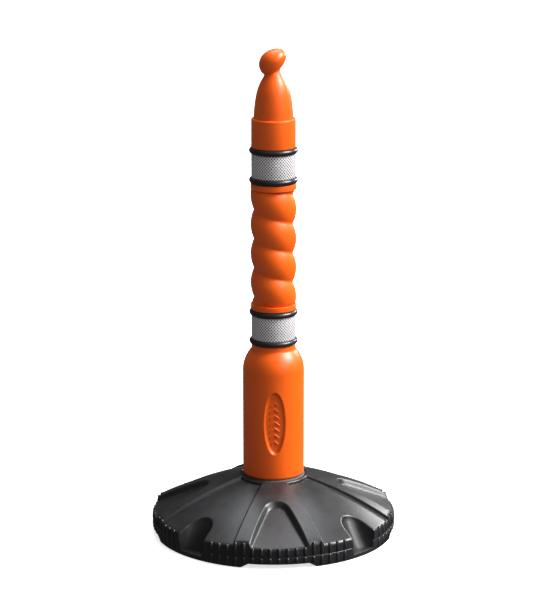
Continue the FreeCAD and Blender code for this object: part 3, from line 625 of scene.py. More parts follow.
def open_top(x, y):
    """Height of the top of the base before the hand holds are scooped out."""
    r = np.hypot(x, y)
    dome = dome_arc(r, (72, 116), (243, 46.5))
    arm = dome_arc(r, (68.5, 122.2), (243, 54.0))
    skin = dome + (arm - dome) * smooth_step(-1.9, 1.9, arm_distance(x, y))
    inside = arch_distance(x, y)
    floor_height = ARCH_HEIGHT - (x - ARCH_START) * ARCH_SLOPE
    wall = floor_height + ARCH_DEPTH * (1 - inside / ARCH_DRAFT)
    recess = smooth_max(floor_height, wall, 5.0)
    skin = np.where(inside > -6, smooth_min(skin, recess, 4.0), skin)
    lip = 118.5 + np.sqrt(np.maximum(3.5**2 - (r - 68.5) ** 2, 0))
    skin = np.where(r > 72, skin, np.where(r > 68.5, smooth_max(skin, lip, 1.0), lip))
    skin = np.where(r < 64.95, 116.0, skin)
    rounding = RIM_ROUND + 4.0 * smooth_step(0.0, 14.0, arm_distance(x, y)) * (inside < 0)
    over = np.clip(r - (RIM - rounding), 0, rounding)
    return skin - (rounding - np.sqrt(np.maximum(rounding**2 - over**2, 0)))


print("height on the dome at 150 mm:", round(float(open_top(np.array(106.0), np.array(106.0))), 1))

# %% The hand hold
HOLD_FLOOR, HOLD_RISE, HOLD_EDGE = 10.0, 62.0, 3.2
DIAGONAL = math.sqrt(0.5)
HALVINGS = 34


def hold_sizes(share):
    """Depth, half width, run and side of the scoop's outline at one share of its height."""
    depth, width = 22 + 34.5 * share, 32 + 7.5 * share
    return depth, width, depth * 0.53, width * 0.78


def hold_outline(share, along):
    """Points on one half of the outline: along runs 0 to 1 round the end and 1 to 2 out to the rim."""
    depth, width, run, side = hold_sizes(share)
    radius = (run**2 + side**2) / (2 * run)
    sweep = np.arctan2(side, radius - run)
    bend_angle = np.clip(along, 0, 1) * sweep
    out = np.clip(along - 1, 0, None)
    u = BASE_RADIUS - depth + radius - radius * np.cos(bend_angle) + out * (depth - run)
    v = radius * np.sin(bend_angle) + out * (width - side)
    return (u + v) * DIAGONAL, (u - v) * DIAGONAL


def hold_share(x, y):
    """The share of the scoop's height at which its wall passes through a point, found by halving."""
    u, v = (x + y) * DIAGONAL, np.abs(y - x) * DIAGONAL
    low, high = np.full(np.shape(u), -0.6), np.full(np.shape(u), 3.0)
    for _ in range(HALVINGS):
        share = (low + high) / 2
        depth, width, run, side = hold_sizes(share)
        radius = (run**2 + side**2) / (2 * run)
        inner = BASE_RADIUS - depth
        flank = side + (width - side) * (u - inner - run) / (depth - run)
        inside = np.where(u >= inner + run, v < flank, np.hypot(u - inner - radius, v) < radius)
        high = np.where(inside, share, high)
        low = np.where(inside, low, share)
    return (low + high) / 2


def hold_line(height_rule, along):
    """The line round the scoop on which its wall is as high as height_rule says."""
    low, high = np.full(len(along), -0.2), np.full(len(along), 1.6)
    for _ in range(HALVINGS):
        share = (low + high) / 2
        x, y = hold_outline(share, along)
        below = HOLD_FLOOR + HOLD_RISE * share < height_rule(x, y)
        low, high = np.where(below, share, low), np.where(below, high, share)
    x, y = hold_outline((low + high) / 2, along)
    return np.column_stack([x, y])


def line_distance(x, y, line):
    """Distance from points to a line of short pieces."""
    flat = np.column_stack([np.ravel(x), np.ravel(y)])
    best = np.full(len(flat), 1e9)
    for a, b in zip(line[:-1], line[1:]):
        step = b - a
        share = np.clip(((flat - a) @ step) / (step @ step), 0, 1)
        best = np.minimum(best, np.linalg.norm(flat - a - share[:, None] * step, axis=1))
    return best.reshape(np.shape(x))


def spread_line(line, gap):
    """A line moved sideways, away from the scoop."""
    step = np.gradient(line, axis=0)
    side = np.column_stack([step[:, 1], -step[:, 0]])
    side /= np.linalg.norm(side, axis=1)[:, None]
    middle = np.array((190.0, 190.0))
    sign = np.sign(((line - middle) * side).sum(1).mean())
    return line + side * gap * sign


def hold_wall(points, heights):
    """The scoop's wall from the points of its mouth down to the parting line, and the flat below."""
    shares = (heights - HOLD_FLOOR) / HOLD_RISE
    u, v = points.sum(1) * DIAGONAL, (points[:, 0] - points[:, 1]) * DIAGONAL
    depth, width, run, side = hold_sizes(shares)
    radius = (run**2 + side**2) / (2 * run)
    turned = np.arctan2(np.abs(v), radius - (u - BASE_RADIUS + depth)) / np.arctan2(side, radius - run)
    past = u - BASE_RADIUS + depth - run
    places = np.where(past < 0, turned, 1 + past / (depth - run))
    order = np.argsort(places)
    points, heights, shares, places = points[order], heights[order], shares[order], places[order]
    lowest = (PARTING - HOLD_FLOOR) / HOLD_RISE
    rows = [np.column_stack([points, heights])]
    for mix in np.linspace(0, 1, 7)[1:]:
        share = shares + (lowest - shares) * mix
        at = places.copy()
        low, high = 1.0, 2.6
        for _ in range(HALVINGS):
            at[-1] = (low + high) / 2
            x, y = hold_outline(share, at)
            low, high = (at[-1], high) if np.hypot(x[-1], y[-1]) < RIM else (low, at[-1])
        rows.append(np.column_stack([x, y, HOLD_FLOOR + HOLD_RISE * share]))
    rows.append(np.column_stack([points, np.full(len(points), PARTING)]))
    count = len(points)
    faces = [(row + i, row + i + 1, row + count + i + 1, row + count + i)
             for row in range(0, count * (len(rows) - 1), count) for i in range(count - 1)]
    faces.append(tuple(count * (row + 1) - 1 for row in range(len(rows))))
    return np.vstack(rows), faces


along = np.concatenate([np.linspace(0, 1, 26), np.linspace(1, 1.6, 13)[1:]])
mouth = hold_line(lambda x, y: open_top(x, y) - HOLD_EDGE, along)
parting_line = hold_line(lambda x, y: np.full(np.shape(x), PARTING), along)
foot_line = hold_line(lambda x, y: np.full(np.shape(x), HOLD_FLOOR), along)
print("mouth starts", round(float(np.hypot(*mouth[0])), 1), "mm from the axis")

# %% The top shell
def ring_line(radius, spacing=3.0):
    """One eighth of a circle, a little past both ends."""
    turn = np.linspace(math.radians(-2), math.radians(47), max(4, int(radius * 0.855 / spacing)))
    return np.column_stack([radius * np.cos(turn), radius * np.sin(turn)])


def arm_line(gap, start=62.0, end=252.0, spacing=4.0):
    """A line beside the arm's edge, gap millimetres inside it."""
    far = np.linspace(start, end, int((end - start) / spacing))
    return far[:, None] * ARM_SIDE - gap * np.array((-ARM_SIDE[1], ARM_SIDE[0]))


def arch_line(gap, spacing=2.2):
    """A line beside the mouth of the arch, gap millimetres inside it."""
    radius = ARCH_ROUND - gap
    turn = np.linspace(math.pi + 0.04, math.pi / 2 + ARM_ANGLE, max(6, int(radius * 1.2 / spacing)))
    round_top = np.column_stack([ARCH_CENTRE + radius * np.cos(turn), radius * np.sin(turn)])
    far = np.linspace(4, 125, 34)[:, None]
    return np.vstack([round_top, round_top[-1] + far * ARM_SIDE])


def wedge(limit, extra=lambda x, y: True):
    """Keeps the triangles of one eighth, inside a radius, where extra is true."""
    def keep(middles):
        x, y = middles.T
        r = np.hypot(x, y)
        return (y > 0) & (y < x) & (r < limit) & extra(x, y)
    return keep


def polar_points(radii, spacing):
    """Loose points that fill the plan between the lines."""
    return [(r * math.cos(t), r * math.sin(t)) for r in radii
            for t in np.linspace(0, math.pi / 4, max(5, int(r * 0.785 / spacing)))[1:-1]]


edges_of_eighth = [np.column_stack([np.linspace(0, 260, 105), np.zeros(105)]),
                   np.column_stack([np.linspace(0, 184, 105), np.linspace(0, 184, 105)])]
shell_lines = list(edges_of_eighth)
shell_lines += [ring_line(r) for r in (60.2, 64.8, 65.0, 65.25, 65.8, 66.6, 67.5, 68.5, 69.5, 70.4,
                                       71.2, 71.75, 72.0, 72.6, 73.6)]
shell_lines += [ring_line(r, 2.6) for r in (240.8, 241.0, 243.0, 244.3, 245.5, 246.4, 247.0, RIM)]
shell_lines += [arm_line(g) for g in (-2.6, -1.9, -1.2, -0.6, 0, 0.6, 1.2, 1.9, 2.6)]
shell_lines += [arch_line(g) for g in (-3, -1.8, -0.8, 0, 0.9, 1.9, 3.4, 5.0, 6.3, 7.5, 8.8, 10.5)]
shell_lines += [mouth] + [spread_line(mouth, g) for g in (0.12, 0.45, 1.0, 1.8, HOLD_EDGE, 4.2)]
plan, triangles = fill_plan(
    shell_lines, polar_points(np.arange(78, 240, 7.0), 7.0),
    wedge(RIM, lambda x, y: (np.hypot(x, y) > 60.2)
          & (HOLD_FLOOR + HOLD_RISE * hold_share(x, y) > open_top(x, y) - HOLD_EDGE)))
x, y = plan.T
r = np.hypot(x, y)
apart_by = line_distance(x, y, mouth)
lean = np.clip(HOLD_EDGE - apart_by, 0, HOLD_EDGE)
top = open_top(x, y) - (HOLD_EDGE - np.sqrt(HOLD_EDGE**2 - lean**2))
roof = np.minimum(87.5 + (ARCH_START - r) * ARCH_SLOPE, 100.0)
bottom = np.where((apart_by < 3.7) | (r > 240.9), PARTING, np.minimum(roof, top - 2.5))
on_mouth = apart_by < 0.02
vertices, faces = closed_from_plan(plan, triangles, top, bottom, on_mouth)
wall_points, wall_faces = hold_wall(plan[on_mouth], top[on_mouth])
faces += [tuple(i + len(vertices) for i in face) for face in wall_faces]
shell = clean_mesh("base_top_moulding", *eight_fold(np.vstack([vertices, wall_points]), faces), base_plastic,
                   smooth=50)
settle(shell, "base", "base_plastic", "base_top_shell")

# %% [markdown]
# ## The bottom pan
# The pan closes the base from below and stands on four feet. Its rim band draws in towards the
# floor. Under each arm the band is cut away, with slanting ends, so that the base stands on the
# ground between the arms only.

# %% The pan
PAN_RIM = 247.9
GAP_START, GAP_END = 14.3, 17.9
SCREW_ANGLE, SCREW_CIRCLE = math.radians(45 - 18.5), 213
gap_lines = [np.array([(150 * math.cos(t), 150 * math.sin(t)), (260 * math.cos(t), 260 * math.sin(t))])
             for t in (math.radians(GAP_START), math.radians(GAP_END))]
screw_spot = np.array((math.cos(SCREW_ANGLE), math.sin(SCREW_ANGLE))) * SCREW_CIRCLE
spin = np.linspace(0, 2 * math.pi, 25)
head_circles = [screw_spot + radius * np.column_stack([np.cos(spin), np.sin(spin)]) for radius in (4.5, 4.7)]
pan_lines = edges_of_eighth + gap_lines + head_circles + [foot_line, parting_line]
pan_lines += [spread_line(parting_line, g) for g in (4.0, 4.3)]
pan_lines += [spread_line(foot_line, g) for g in (-0.4, 0.3)]
pan_lines += [ring_line(r, 3.0) for r in (171.8, 172.0, 240.8, 241.0, 245.0, 246.2, 247.0, 247.6, PAN_RIM)]
plan, triangles = fill_plan(pan_lines, polar_points(np.arange(20, 236, 24.0), 24.0), wedge(PAN_RIM))
x, y = plan.T
r, turn = np.hypot(x, y), np.degrees(np.arctan2(y, x))
wall = HOLD_FLOOR + HOLD_RISE * hold_share(x, y)
near_hold = line_distance(x, y, parting_line) < 4.1
top = np.where(near_hold | (r > 240.9), PARTING, 14.0)
top = np.where(wall < PARTING, np.maximum(wall, HOLD_FLOOR), top)
rounding = np.clip(r - (PAN_RIM - 1.6), 0, 1.6)
top = top - (1.6 - np.sqrt(1.6**2 - rounding**2))
bottom = 10 - 9 * np.clip((turn - GAP_START) / (GAP_END - GAP_START), 0, 1)
bottom = np.where(r < 171.9, 10.0, bottom)
bottom = np.where(np.hypot(x - screw_spot[0], y - screw_spot[1]) < 4.6, 10.0, bottom)
bottom = np.minimum(bottom, top - 0.3)
vertices, faces = eight_fold(*closed_from_plan(plan, triangles, top, bottom))
draw_in = 1 - 0.010 * (PARTING - vertices[:, 2]) / PARTING * (np.hypot(*vertices.T[:2]) > 240)
vertices[:, 0] *= draw_in
vertices[:, 1] *= draw_in
pan = clean_mesh("base_bottom_moulding", vertices, faces, base_plastic, smooth=42)
settle(pan, "base", "base_plastic", "base_bottom_pan")

# %% [markdown]
# ## Ribs round the rim
# Small upright ribs stiffen the rim and give a grip when the base is rolled. They repeat by a
# simple rule, which is what Geometry Nodes are for: one rib is instanced on the points of a
# circle, ribs that would cross a hand hold are dropped, and each is drawn out to the height of
# the rim where it stands.

# %% The rib tree
def node_tree(name, **inputs):
    """An empty geometry tree with a Material input and named lengths."""
    tree = bpy.data.node_groups.new(name, "GeometryNodeTree")
    tree.interface.new_socket("Geometry", in_out="INPUT", socket_type="NodeSocketGeometry")
    for label, start in inputs.items():
        kind = "NodeSocketInt" if isinstance(start, int) else "NodeSocketFloat"
        socket = tree.interface.new_socket(label, in_out="INPUT", socket_type=kind)
        socket.default_value = start
    tree.interface.new_socket("Material", in_out="INPUT", socket_type="NodeSocketMaterial")
    tree.interface.new_socket("Geometry", in_out="OUTPUT", socket_type="NodeSocketGeometry")
    entry = tree.nodes.new("NodeGroupInput")
    leave = tree.nodes.new("NodeGroupOutput")
    return tree, entry, leave


def add_node(tree, kind, links=None, **settings):
    """A node with its settings, and its inputs linked or filled in by name."""
    node = tree.nodes.new(kind)
    for label, choice in settings.items():
        setattr(node, label, choice)
    for label, source in (links or {}).items():
        if isinstance(source, Rule):
            source = source.socket
        if isinstance(source, bpy.types.NodeSocket):
            tree.links.new(source, node.inputs[label])
        else:
            node.inputs[label].default_value = source
    return node


def choose(condition, if_true, if_false):
    """One of two rules, by a condition that is 0 or 1."""
    return condition * (if_true - if_false) + if_false


def position_parts(tree):
    """The three coordinates of every point as rules."""
    position = add_node(tree, "GeometryNodeInputPosition").outputs[0]
    parts = add_node(tree, "ShaderNodeSeparateXYZ", {"Vector": position})
    return [Rule(tree, parts.outputs[axis]) for axis in "XYZ"]


def read(tree, label):
    """A number stored on the points."""
    node = add_node(tree, "GeometryNodeInputNamedAttribute", {"Name": label}, data_type="FLOAT")
    return Rule(tree, node.outputs["Attribute"])


def store(tree, geometry, label, value):
    """The same geometry with a number stored on its points."""
    return add_node(tree, "GeometryNodeStoreNamedAttribute",
                    {"Geometry": geometry, "Name": label, "Value": value}, data_type="FLOAT").outputs[0]


# Degrees from the middle of the nearest arm.
ARCH_UNTIL, GAP_UNTIL, ARM_UNTIL, HOLD_FROM = 13.4, 17.0, 21.6, 35.2


rib_tree, entry, leave = node_tree(
    "rim_ribs", Count=88, Radius=0.246, Low=0.027, **{
        "Low over a gap": 0.027, "Top between arms": 0.045, "Top on an arm": 0.052, "Top in an arch": 0.040,
        "Half width": 0.0028, "Draw in": 0.0})
give = {s.name: Rule(rib_tree, s) for s in entry.outputs if s.name}
circle = add_node(rib_tree, "GeometryNodeMeshCircle",
                  {"Vertices": give["Count"], "Radius": give["Radius"]})
x, y, _ = position_parts(rib_tree)
turn = y.step("ARCTAN2", x)
fold = turn * (180 / math.pi) + 45.0 + 1.0
fold = ((fold / 90.0).step("FRACT") * 90.0 - 46.0).step("ABSOLUTE")
on_hold = fold.step("GREATER_THAN", HOLD_FROM)
on_arm = fold.step("LESS_THAN", ARM_UNTIL)
in_arch = fold.step("LESS_THAN", ARCH_UNTIL)
over_gap = fold.step("LESS_THAN", GAP_UNTIL)
between = choose(on_arm, give["Top on an arm"], give["Top between arms"])
rib_top = choose(in_arch, give["Top in an arch"], between)
rib_low = choose(over_gap, give["Low over a gap"], give["Low"])
points = circle.outputs[0]
for label, rule in (("rib_top", rib_top), ("rib_low", rib_low)):
    points = store(rib_tree, points, label, rule)

ball = add_node(rib_tree, "GeometryNodeMeshUVSphere", {"Segments": 10, "Rings": 6, "Radius": 1.0})
upper = position_parts(rib_tree)[2].step("GREATER_THAN", 0.001)
marked = store(rib_tree, ball.outputs["Mesh"], "upper_half", upper)
sized = add_node(rib_tree, "ShaderNodeCombineXYZ", {axis: give["Half width"] for axis in "XYZ"})
bead = add_node(rib_tree, "GeometryNodeTransform", {"Geometry": marked, "Scale": sized.outputs[0]})
facing = add_node(rib_tree, "ShaderNodeCombineXYZ", {"Z": turn})
standing = add_node(rib_tree, "GeometryNodeInstanceOnPoints", {
    "Points": points, "Selection": on_hold * -1.0 + 1.0, "Instance": bead.outputs[0],
    "Rotation": facing.outputs[0]})
real = add_node(rib_tree, "GeometryNodeRealizeInstances", {"Geometry": standing.outputs[0]})

x, y, z = position_parts(rib_tree)
top, low = read(rib_tree, "rib_top"), read(rib_tree, "rib_low")
raised = z + low + read(rib_tree, "upper_half") * (top - low)
shrink = (raised - PARTING * MM) * give["Draw in"] + 1.0
moved = add_node(rib_tree, "ShaderNodeCombineXYZ", {"X": x * shrink, "Y": y * shrink, "Z": raised})
drawn = add_node(rib_tree, "GeometryNodeSetPosition",
                 {"Geometry": real.outputs[0], "Position": moved.outputs[0]})
painted = add_node(rib_tree, "GeometryNodeSetMaterial",
                   {"Geometry": drawn.outputs[0], "Material": entry.outputs["Material"]})
smooth = add_node(rib_tree, "GeometryNodeSetShadeSmooth", {"Geometry": painted.outputs[0]})
rib_tree.links.new(smooth.outputs[0], leave.inputs["Geometry"])
print("rib tree has", len(rib_tree.nodes), "nodes")

# %% Bake the ribs
def grow(name, tree, material, start=None, **sizes):
    """Runs a geometry tree on a mesh and returns the result as a plain piece."""
    seed = bpy.data.objects.new(name + "_seed", start or bpy.data.meshes.new(name + "_seed"))
    scene.collection.objects.link(seed)
    modifier = seed.modifiers.new(name, "NODES")
    modifier.node_group = tree
    for socket in tree.interface.items_tree:
        if socket.in_out == "INPUT" and socket.name in sizes:
            modifier[socket.identifier] = sizes[socket.name]
        if socket.in_out == "INPUT" and socket.name == "Material":
            modifier[socket.identifier] = material
    grown = seed.evaluated_get(bpy.context.evaluated_depsgraph_get())
    mesh = bpy.data.meshes.new_from_object(grown)
    seed.modifiers.remove(modifier)
    bpy.data.objects.remove(seed)
    mesh.name = name
    piece = bpy.data.objects.new(name, mesh)
    scene.collection.objects.link(piece)
    print(f"{name}: {sum(len(p.vertices) - 2 for p in mesh.polygons)} triangles")
    return piece


upper_ribs = grow("upper_rim_ribs", rib_tree, base_plastic, Count=88, Radius=0.2456, **{
    "Low": 0.0295, "Low over a gap": 0.0295, "Top between arms": 0.0430, "Top on an arm": 0.0492,
    "Top in an arch": 0.0398, "Half width": 0.0043, "Draw in": 0.0})
lower_ribs = grow("lower_rim_ribs", rib_tree, base_plastic, Count=88, Radius=0.2461, **{
    "Low": 0.0055, "Low over a gap": 0.0145, "Top between arms": 0.0198, "Top on an arm": 0.0198,
    "Top in an arch": 0.0198, "Half width": 0.0043, "Draw in": 0.35})
for ribs in (upper_ribs, lower_ribs):
    settle(ribs, "base", "base_plastic")

# %% [markdown]
# ## The lower post
# A bottle shape: straight barrel, round shoulder, short neck. The front of the barrel has a shallow
# oval panel with a plain raised pattern. The barrel is a plan too, unrolled flat: across is the
# way round the post, up is its height, and the lifted height is how far a point lies inside the
# barrel. The rest is turned on the lathe with matching columns, so the two meet without a gap.

# %% The barrel with its panel
BARREL, BARREL_LOW, BARREL_HIGH = 62.6, 150.0, 330.0
COLUMNS = 144
PANEL = {"height": 244.0, "tall": 65.5, "wide": 22.0, "deep": 6.4}
around = np.linspace(-math.pi, math.pi, COLUMNS + 1) * BARREL


def panel_distance(x, y):
    """How far a point lies inside the oval, near enough for shallow walls."""
    across, up = x / PANEL["wide"], (y - PANEL["height"]) / PANEL["tall"]
    size = np.maximum(np.hypot(across, up), 1e-6)
    slope = np.hypot(across / PANEL["wide"], up / PANEL["tall"]) / size
    return (1 - size) / np.maximum(slope, 1e-6)


def oval_line(inside, count=96):
    """The oval, drawn in by a distance."""
    turn = np.linspace(0, 2 * math.pi, count + 1)
    normal = np.column_stack([np.cos(turn) * PANEL["tall"], np.sin(turn) * PANEL["wide"]])
    normal /= np.linalg.norm(normal, axis=1)[:, None]
    edge = np.column_stack([PANEL["wide"] * np.cos(turn), PANEL["height"] + PANEL["tall"] * np.sin(turn)])
    return edge - normal * inside


CHEVRON_SPACING, CHEVRON_RAISED = 13.5, 1.8


def chevron(level):
    """One raised V across the panel, pointing up. It is narrower towards the ends of the oval."""
    up = level * CHEVRON_SPACING
    half = 9.5 * math.sqrt(max(0.15, 1 - (up / 58) ** 2))
    y = PANEL["height"] + up
    return np.array([(-half, y - 4.0), (0, y + 3.0), (half, y - 4.0)])


CHEVRONS = [chevron(level) for level in range(-3, 4)]


def chevron_edges(line, gap):
    """A closed line all round a raised V."""
    left, tip, right = line
    points = []
    for centre, start, stop in ((left, 140, 320), (right, -140, 40)):
        turn = np.radians(np.linspace(start, stop, 9))
        points.append(centre + gap * np.column_stack([np.cos(turn), np.sin(turn)]))
    over, under = tip + np.array((0, gap * 1.15)), tip - np.array((0, gap * 1.15))
    return np.vstack([points[0], [under], points[1], [over], points[0][:1]])


lines = [np.column_stack([around, np.full(COLUMNS + 1, level)]) for level in (BARREL_LOW, BARREL_HIGH)]
lines += [np.array([(side, BARREL_LOW), (side, BARREL_HIGH)]) for side in (around[0], around[-1])]
lines += [oval_line(gap) for gap in (-1.6, -0.9, -0.2, 0.5, 1.2, 2.2, 3.2, 3.9, 4.6, 5.4, 6.2)]
lines += [chevron_edges(line, gap) for line in CHEVRONS for gap in (0.5, 1.0, 1.5, 2.1)]
loose = [(a, h) for a in around[1:-1] for h in np.linspace(BARREL_LOW, BARREL_HIGH, 25)[1:-1]
         if panel_distance(np.array(a), np.array(h)) < -3.5]
loose += [(a, h) for a in np.arange(-14, 15, 3.5) for h in np.arange(185, 304, 4.0)
          if panel_distance(np.array(a), np.array(h)) > 7.0]
plan, triangles = fill_plan(lines, loose, lambda m: (np.abs(m[:, 0]) < around[-1])
                            & (m[:, 1] > BARREL_LOW) & (m[:, 1] < BARREL_HIGH))
x, y = plan.T
inside = panel_distance(x, y)
wall = (inside + 0.2) * 1.4
flat_floor = BARREL - (BARREL - PANEL["deep"]) / np.cos(np.clip(x / BARREL, -0.6, 0.6))
sunk = smooth_max(smooth_min(wall, flat_floor, 1.8), np.zeros(len(x)), 1.4)
raised = np.zeros(len(x))
for line in CHEVRONS:
    raised = np.maximum(raised, smooth_step(2.1, 0.9, line_distance(x, y, line)))
depth = BARREL - sunk + CHEVRON_RAISED * raised
angle = x / BARREL - math.pi / 2
front = np.column_stack([depth * np.cos(angle), depth * np.sin(angle), y])
print("panel points", len(front))

# %% The rest of the lower post
JOINT_BORE, JOINT_SPIGOT = 35.0, 34.4
LOWER_FACE, UPPER_FACE = 470.7, 802.4


def o_ring_groove(height):
    """Points that dip into the groove of an O-ring on a spigot."""
    return [(JOINT_SPIGOT, height - 1.3), (JOINT_SPIGOT - 2, height - 1.3), (JOINT_SPIGOT - 2, height + 1.3),
            (JOINT_SPIGOT, height + 1.3)]


def neck_outline(ring, face):
    """Outside of a neck from its lower ring seat to the end of the spigot."""
    seats = [(RING_SEAT, ring - 6.2), (RING_SEAT, ring + 6.2), (NECK_RADIUS, ring + 6.2),
             (NECK_RADIUS, ring + 53.8), (RING_SEAT, ring + 53.8), (RING_SEAT, face)]
    spigot_end = [(JOINT_SPIGOT, face + 50, 1.2), (JOINT_SPIGOT - 3.4, face + 50, 0.8)]
    return seats + [(JOINT_SPIGOT, face)] + o_ring_groove(face + 30) + spigot_end


shoulder = arc((BARREL, 342), (47.3, 385), 66, 18) + arc((47.3, 385), (44.8, 391), 8, 6, side=-1)[1:]
lower_outline = outline(
    [(BARREL, BARREL_HIGH), (BARREL, 336.0)] + shoulder + [(44.8, 398, 0.8)]
    + neck_outline(LOWER_RING, LOWER_FACE)
    + [(31.0, 398), (41.0, 383), (54.0, 342), (54.0, 132), (46.0, 128), (46.0, 68), (0.0, 68), (0.0, 64),
       (50.0, 64, 1.5), (50.0, 124), (BARREL, 124, 5.0), (BARREL, BARREL_LOW)])
turned, turned_faces = turn_outline(lower_outline, COLUMNS)
vertices = np.vstack([turned, front])
faces = turned_faces[:-COLUMNS] + [tuple(t + len(turned)) for t in triangles]


def add_lugs(vertices, faces, low, high, half_angle=15.0, inner=48.5, outer=55.5):
    """Four bayonet lugs round the spigot, each a closed curved block."""
    for quarter in range(4):
        turns = np.radians(np.linspace(-half_angle, half_angle, 9) + 90 * quarter)
        start = len(vertices)
        ring = [(r * math.cos(t), r * math.sin(t), z) for t in turns
                for r, z in ((inner, low), (outer - 0.6, low), (outer, low + 0.6), (outer, high - 0.6),
                             (outer - 0.6, high), (inner, high))]
        vertices = np.vstack([vertices, ring])
        for column in range(len(turns) - 1):
            a, b = start + column * 6, start + column * 6 + 6
            faces += [(a + i, b + i, b + (i + 1) % 6, a + (i + 1) % 6) for i in range(6)]
        last = start + (len(turns) - 1) * 6
        faces += [tuple(range(start + 5, start - 1, -1)), tuple(range(last, last + 6))]
    return vertices, faces


vertices, faces = add_lugs(vertices, faces, 66.0, 74.0)
lower_moulding = clean_mesh("lower_post_moulding", vertices, faces, orange_plastic, smooth=40)
settle(lower_moulding, "lower", "orange_plastic", "lower_post")

# %% [markdown]
# ## The twisted middle post
# One fat bulge winds up the post like the strand of a rope, left-handed, with a narrow furrow
# between its turns. That is a rule: the distance from the axis depends only on the height, less a
# slice of the pitch for the way round. So the post is turned first as a plain tube with many
# rows, and a geometry tree then moves the marked rows in and out.

# %% The winding tree
TWIST_LOW, TWIST_HIGH, TWIST_CREST = 481.7, 717.7, 46.2
wind_tree, entry, leave = node_tree(
    "wind_furrow", Low=TWIST_LOW * MM, High=TWIST_HIGH * MM, Pitch=0.060, Crest=TWIST_CREST * MM,
    Depth=0.0077, **{
        "Furrow height": 0.705, "Furrow fillet": 0.004, "End dip": 0.002, "End reach": 0.006})
give = {s.name: Rule(wind_tree, s) for s in entry.outputs if s.name}
x, y, z = position_parts(wind_tree)
turn = y.step("ARCTAN2", x)
offset = z - give["Furrow height"] + give["Pitch"] * turn * (0.5 / math.pi)
from_crest = (((offset / give["Pitch"]).step("FRACT") - 0.5) * give["Pitch"]).step("ABSOLUTE")
half = give["Pitch"] * 0.5
bulge = (half * half + give["Depth"] * give["Depth"]) / (give["Depth"] * 2.0)


def bulge_height(distance):
    """Distance from the axis of a round bulge, that far from its crest line."""
    return (bulge * bulge - distance * distance).held(0.0, 1.0).step("SQRT") + give["Crest"] - bulge


own, next_turn = bulge_height(from_crest), bulge_height(give["Pitch"] - from_crest)
near = ((give["Furrow fillet"] - (own - next_turn).step("ABSOLUTE")) / give["Furrow fillet"]).held()
far_out = own.step("MAXIMUM", next_turn) + near * near * near * give["Furrow fillet"] / 6.0
to_end = (z - give["Low"]).step("MINIMUM", give["High"] - z)
at_end = ((give["End reach"] - to_end) / give["End reach"]).held()
far_out = far_out - give["End dip"] * at_end * at_end
moved = add_node(wind_tree, "ShaderNodeCombineXYZ",
                 {"X": far_out * turn.step("COSINE"), "Y": far_out * turn.step("SINE"), "Z": z})
winding = read(wind_tree, "winding").step("GREATER_THAN", 0.5)
wound = add_node(wind_tree, "GeometryNodeSetPosition", {
    "Geometry": entry.outputs["Geometry"], "Selection": winding, "Position": moved.outputs[0]})
painted = add_node(wind_tree, "GeometryNodeSetMaterial",
                   {"Geometry": wound.outputs[0], "Material": entry.outputs["Material"]})
wind_tree.links.new(painted.outputs[0], leave.inputs["Geometry"])
print("winding tree has", len(wind_tree.nodes), "nodes")

# %% Wind the post
rows = [(TWIST_CREST, level) for level in np.linspace(TWIST_LOW, TWIST_HIGH, 180)]
middle_outline = outline(
    [(JOINT_BORE, LOWER_FACE), (46.0, LOWER_FACE, 1.2), (46.0, TWIST_LOW, 3.2), (44.35, TWIST_LOW)]
    + rows + [(44.35, TWIST_HIGH), (46.0, TWIST_HIGH, 2.4), (46.0, 729.7, 1.0)]
    + neck_outline(UPPER_RING, UPPER_FACE)
    + [(31.0, 717.7), (JOINT_BORE, 710.9)])
plain = clean_mesh("middle_post_plain", *turn_outline(middle_outline, 180), orange_plastic, smooth=40)
flags = plain.data.attributes.new("winding", "FLOAT", "POINT")
lowest, highest = TWIST_LOW * MM - 1e-5, TWIST_HIGH * MM + 1e-5
flags.data.foreach_set("value", [float(
    abs(math.hypot(*v.co[:2]) - TWIST_CREST * MM) < 1e-5 and lowest < v.co.z < highest)
    for v in plain.data.vertices])
middle_moulding = grow("middle_post_moulding", wind_tree, orange_plastic, plain.data)
bpy.data.objects.remove(plain)
middle_moulding.data.set_sharp_from_angle(angle=math.radians(40))
settle(middle_moulding, "middle", "orange_plastic", "middle_post")

# %% [markdown]
# ## The top
# A cap, a bottle shape and a slanted knob that chain or tape is hooked round. The neck leans over
# into the knob without an edge. So the piece is a stack of rings that are level at the bottom and
# tilt more and more towards the knob, and the last rings shrink to close its top.

# %% The top post
NECK = np.array(((-17.4, 947.4), (11.9, 958.9)))
WIDEST = np.array(((-29.2, 968.0), (26.3, 984.0)))
KNOB_TOP = np.array((8.3, 999.6))
CONE_START, CONE_RADIUS, CONE_SLOPE = 940.0, 22.0, 0.53


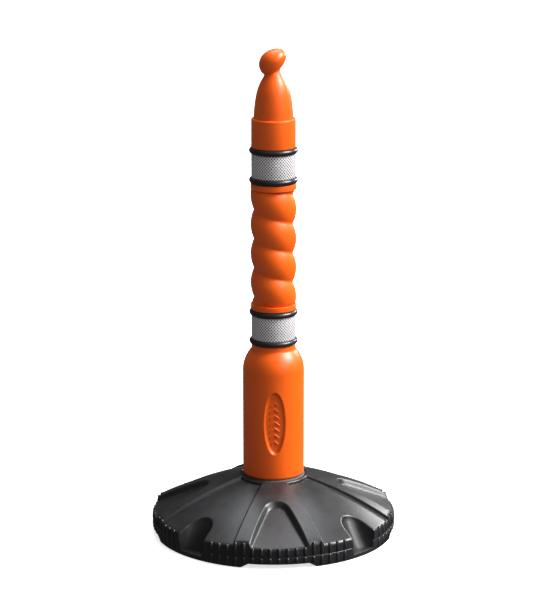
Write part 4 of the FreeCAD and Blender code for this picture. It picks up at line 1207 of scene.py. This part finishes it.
def knob_rings():
    """Rings from the shoulder over the neck and the knob, each as its left and its right point."""
    round_part = arc((39.9, 860.4), (34.2, 910), 300, 10)
    round_part += arc((34.2, 910), (CONE_RADIUS, CONE_START), 92, 10)[1:]
    rings = [((-r, z), (r, z)) for r, z in round_part]
    for share in np.linspace(0, 1, 9)[1:]:
        drops = share * (NECK[:, 1] - CONE_START)
        radii = CONE_RADIUS - CONE_SLOPE * drops
        rings.append(((-radii[0], CONE_START + drops[0]), (radii[1], CONE_START + drops[1])))
    for share in np.linspace(0, 1, 13)[1:]:
        out, up = math.sin(share * math.pi / 2), 1 - math.cos(share * math.pi / 2)
        bulge = np.array((0.85, 0.5))[:, None]
        curve = np.array((out, up)) * bulge + share * (1 - bulge)
        rings.append(tuple(map(tuple, NECK + (WIDEST - NECK) * curve)))
    for share in np.linspace(0, 1, 15)[1:]:
        inward, up = 1 - math.cos(share * math.pi / 2), math.sin(share * math.pi / 2)
        rings.append(tuple(map(tuple, WIDEST + (KNOB_TOP - WIDEST) * (inward, up))))
    rings = np.array(rings)
    for _ in range(2):
        rings[12:-3] = (rings[11:-4] + 2 * rings[12:-3] + rings[13:-2]) / 4
    return rings


def stack_rings(rings, columns):
    """Vertices of the rings: each is a circle on its left and right point."""
    turn = np.linspace(0, 2 * math.pi, columns, endpoint=False)
    rows = []
    for left, right in rings:
        middle, half = (left + right) / 2, (right - left) / 2
        rows.append(np.column_stack([middle[0] + half[0] * np.cos(turn), np.hypot(*half) * np.sin(turn),
                                     middle[1] + half[1] * np.cos(turn)]))
    return np.vstack(rows)


rings = knob_rings()
TOP_COLUMNS = 112
cap = outline([(0.0, 918.4), (25.0, 918.4), (33.9, 862.0), (JOINT_BORE, 852.4), (JOINT_BORE, UPPER_FACE),
               (44.7, UPPER_FACE, 1.0), (44.7, 860.4, 3.0), (39.9, 860.4)])
turned, turned_faces = turn_outline(cap, TOP_COLUMNS)
stacked = stack_rings(rings, TOP_COLUMNS)
faces = turned_faces[:-TOP_COLUMNS]
for row in range(len(rings) - 1):
    a = len(turned) + row * TOP_COLUMNS
    b = a + TOP_COLUMNS
    for col in range(TOP_COLUMNS):
        to = (col + 1) % TOP_COLUMNS
        faces.append((a + col, a + to, b + to, b + col))
top_moulding = clean_mesh("top_post_moulding", np.vstack([turned, stacked]), faces, orange_plastic, smooth=40)
settle(top_moulding, "top", "orange_plastic", "top_post")

# %% [markdown]
# ## Pieces that keep their CAD shape
# Ballast, screws, pads, socket, seal and O-rings are hidden or plain, so the CAD shape is right as
# it is. They only get their finish.

# %% Finishes for the plain pieces
FINISH = {
    "base_ballast": ballast_plastic, "base_screws": screw_steel, "foot_pads": seal_rubber,
    "post_socket": socket_plastic, "socket_screws": screw_steel, "post_seal": seal_rubber,
    "lower_joint_o_ring": seal_rubber, "upper_joint_o_ring": seal_rubber,
}
for node, material in FINISH.items():
    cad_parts[node].data.materials.clear()
    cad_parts[node].data.materials.append(material)
print("dressed", len(FINISH), "plain pieces")
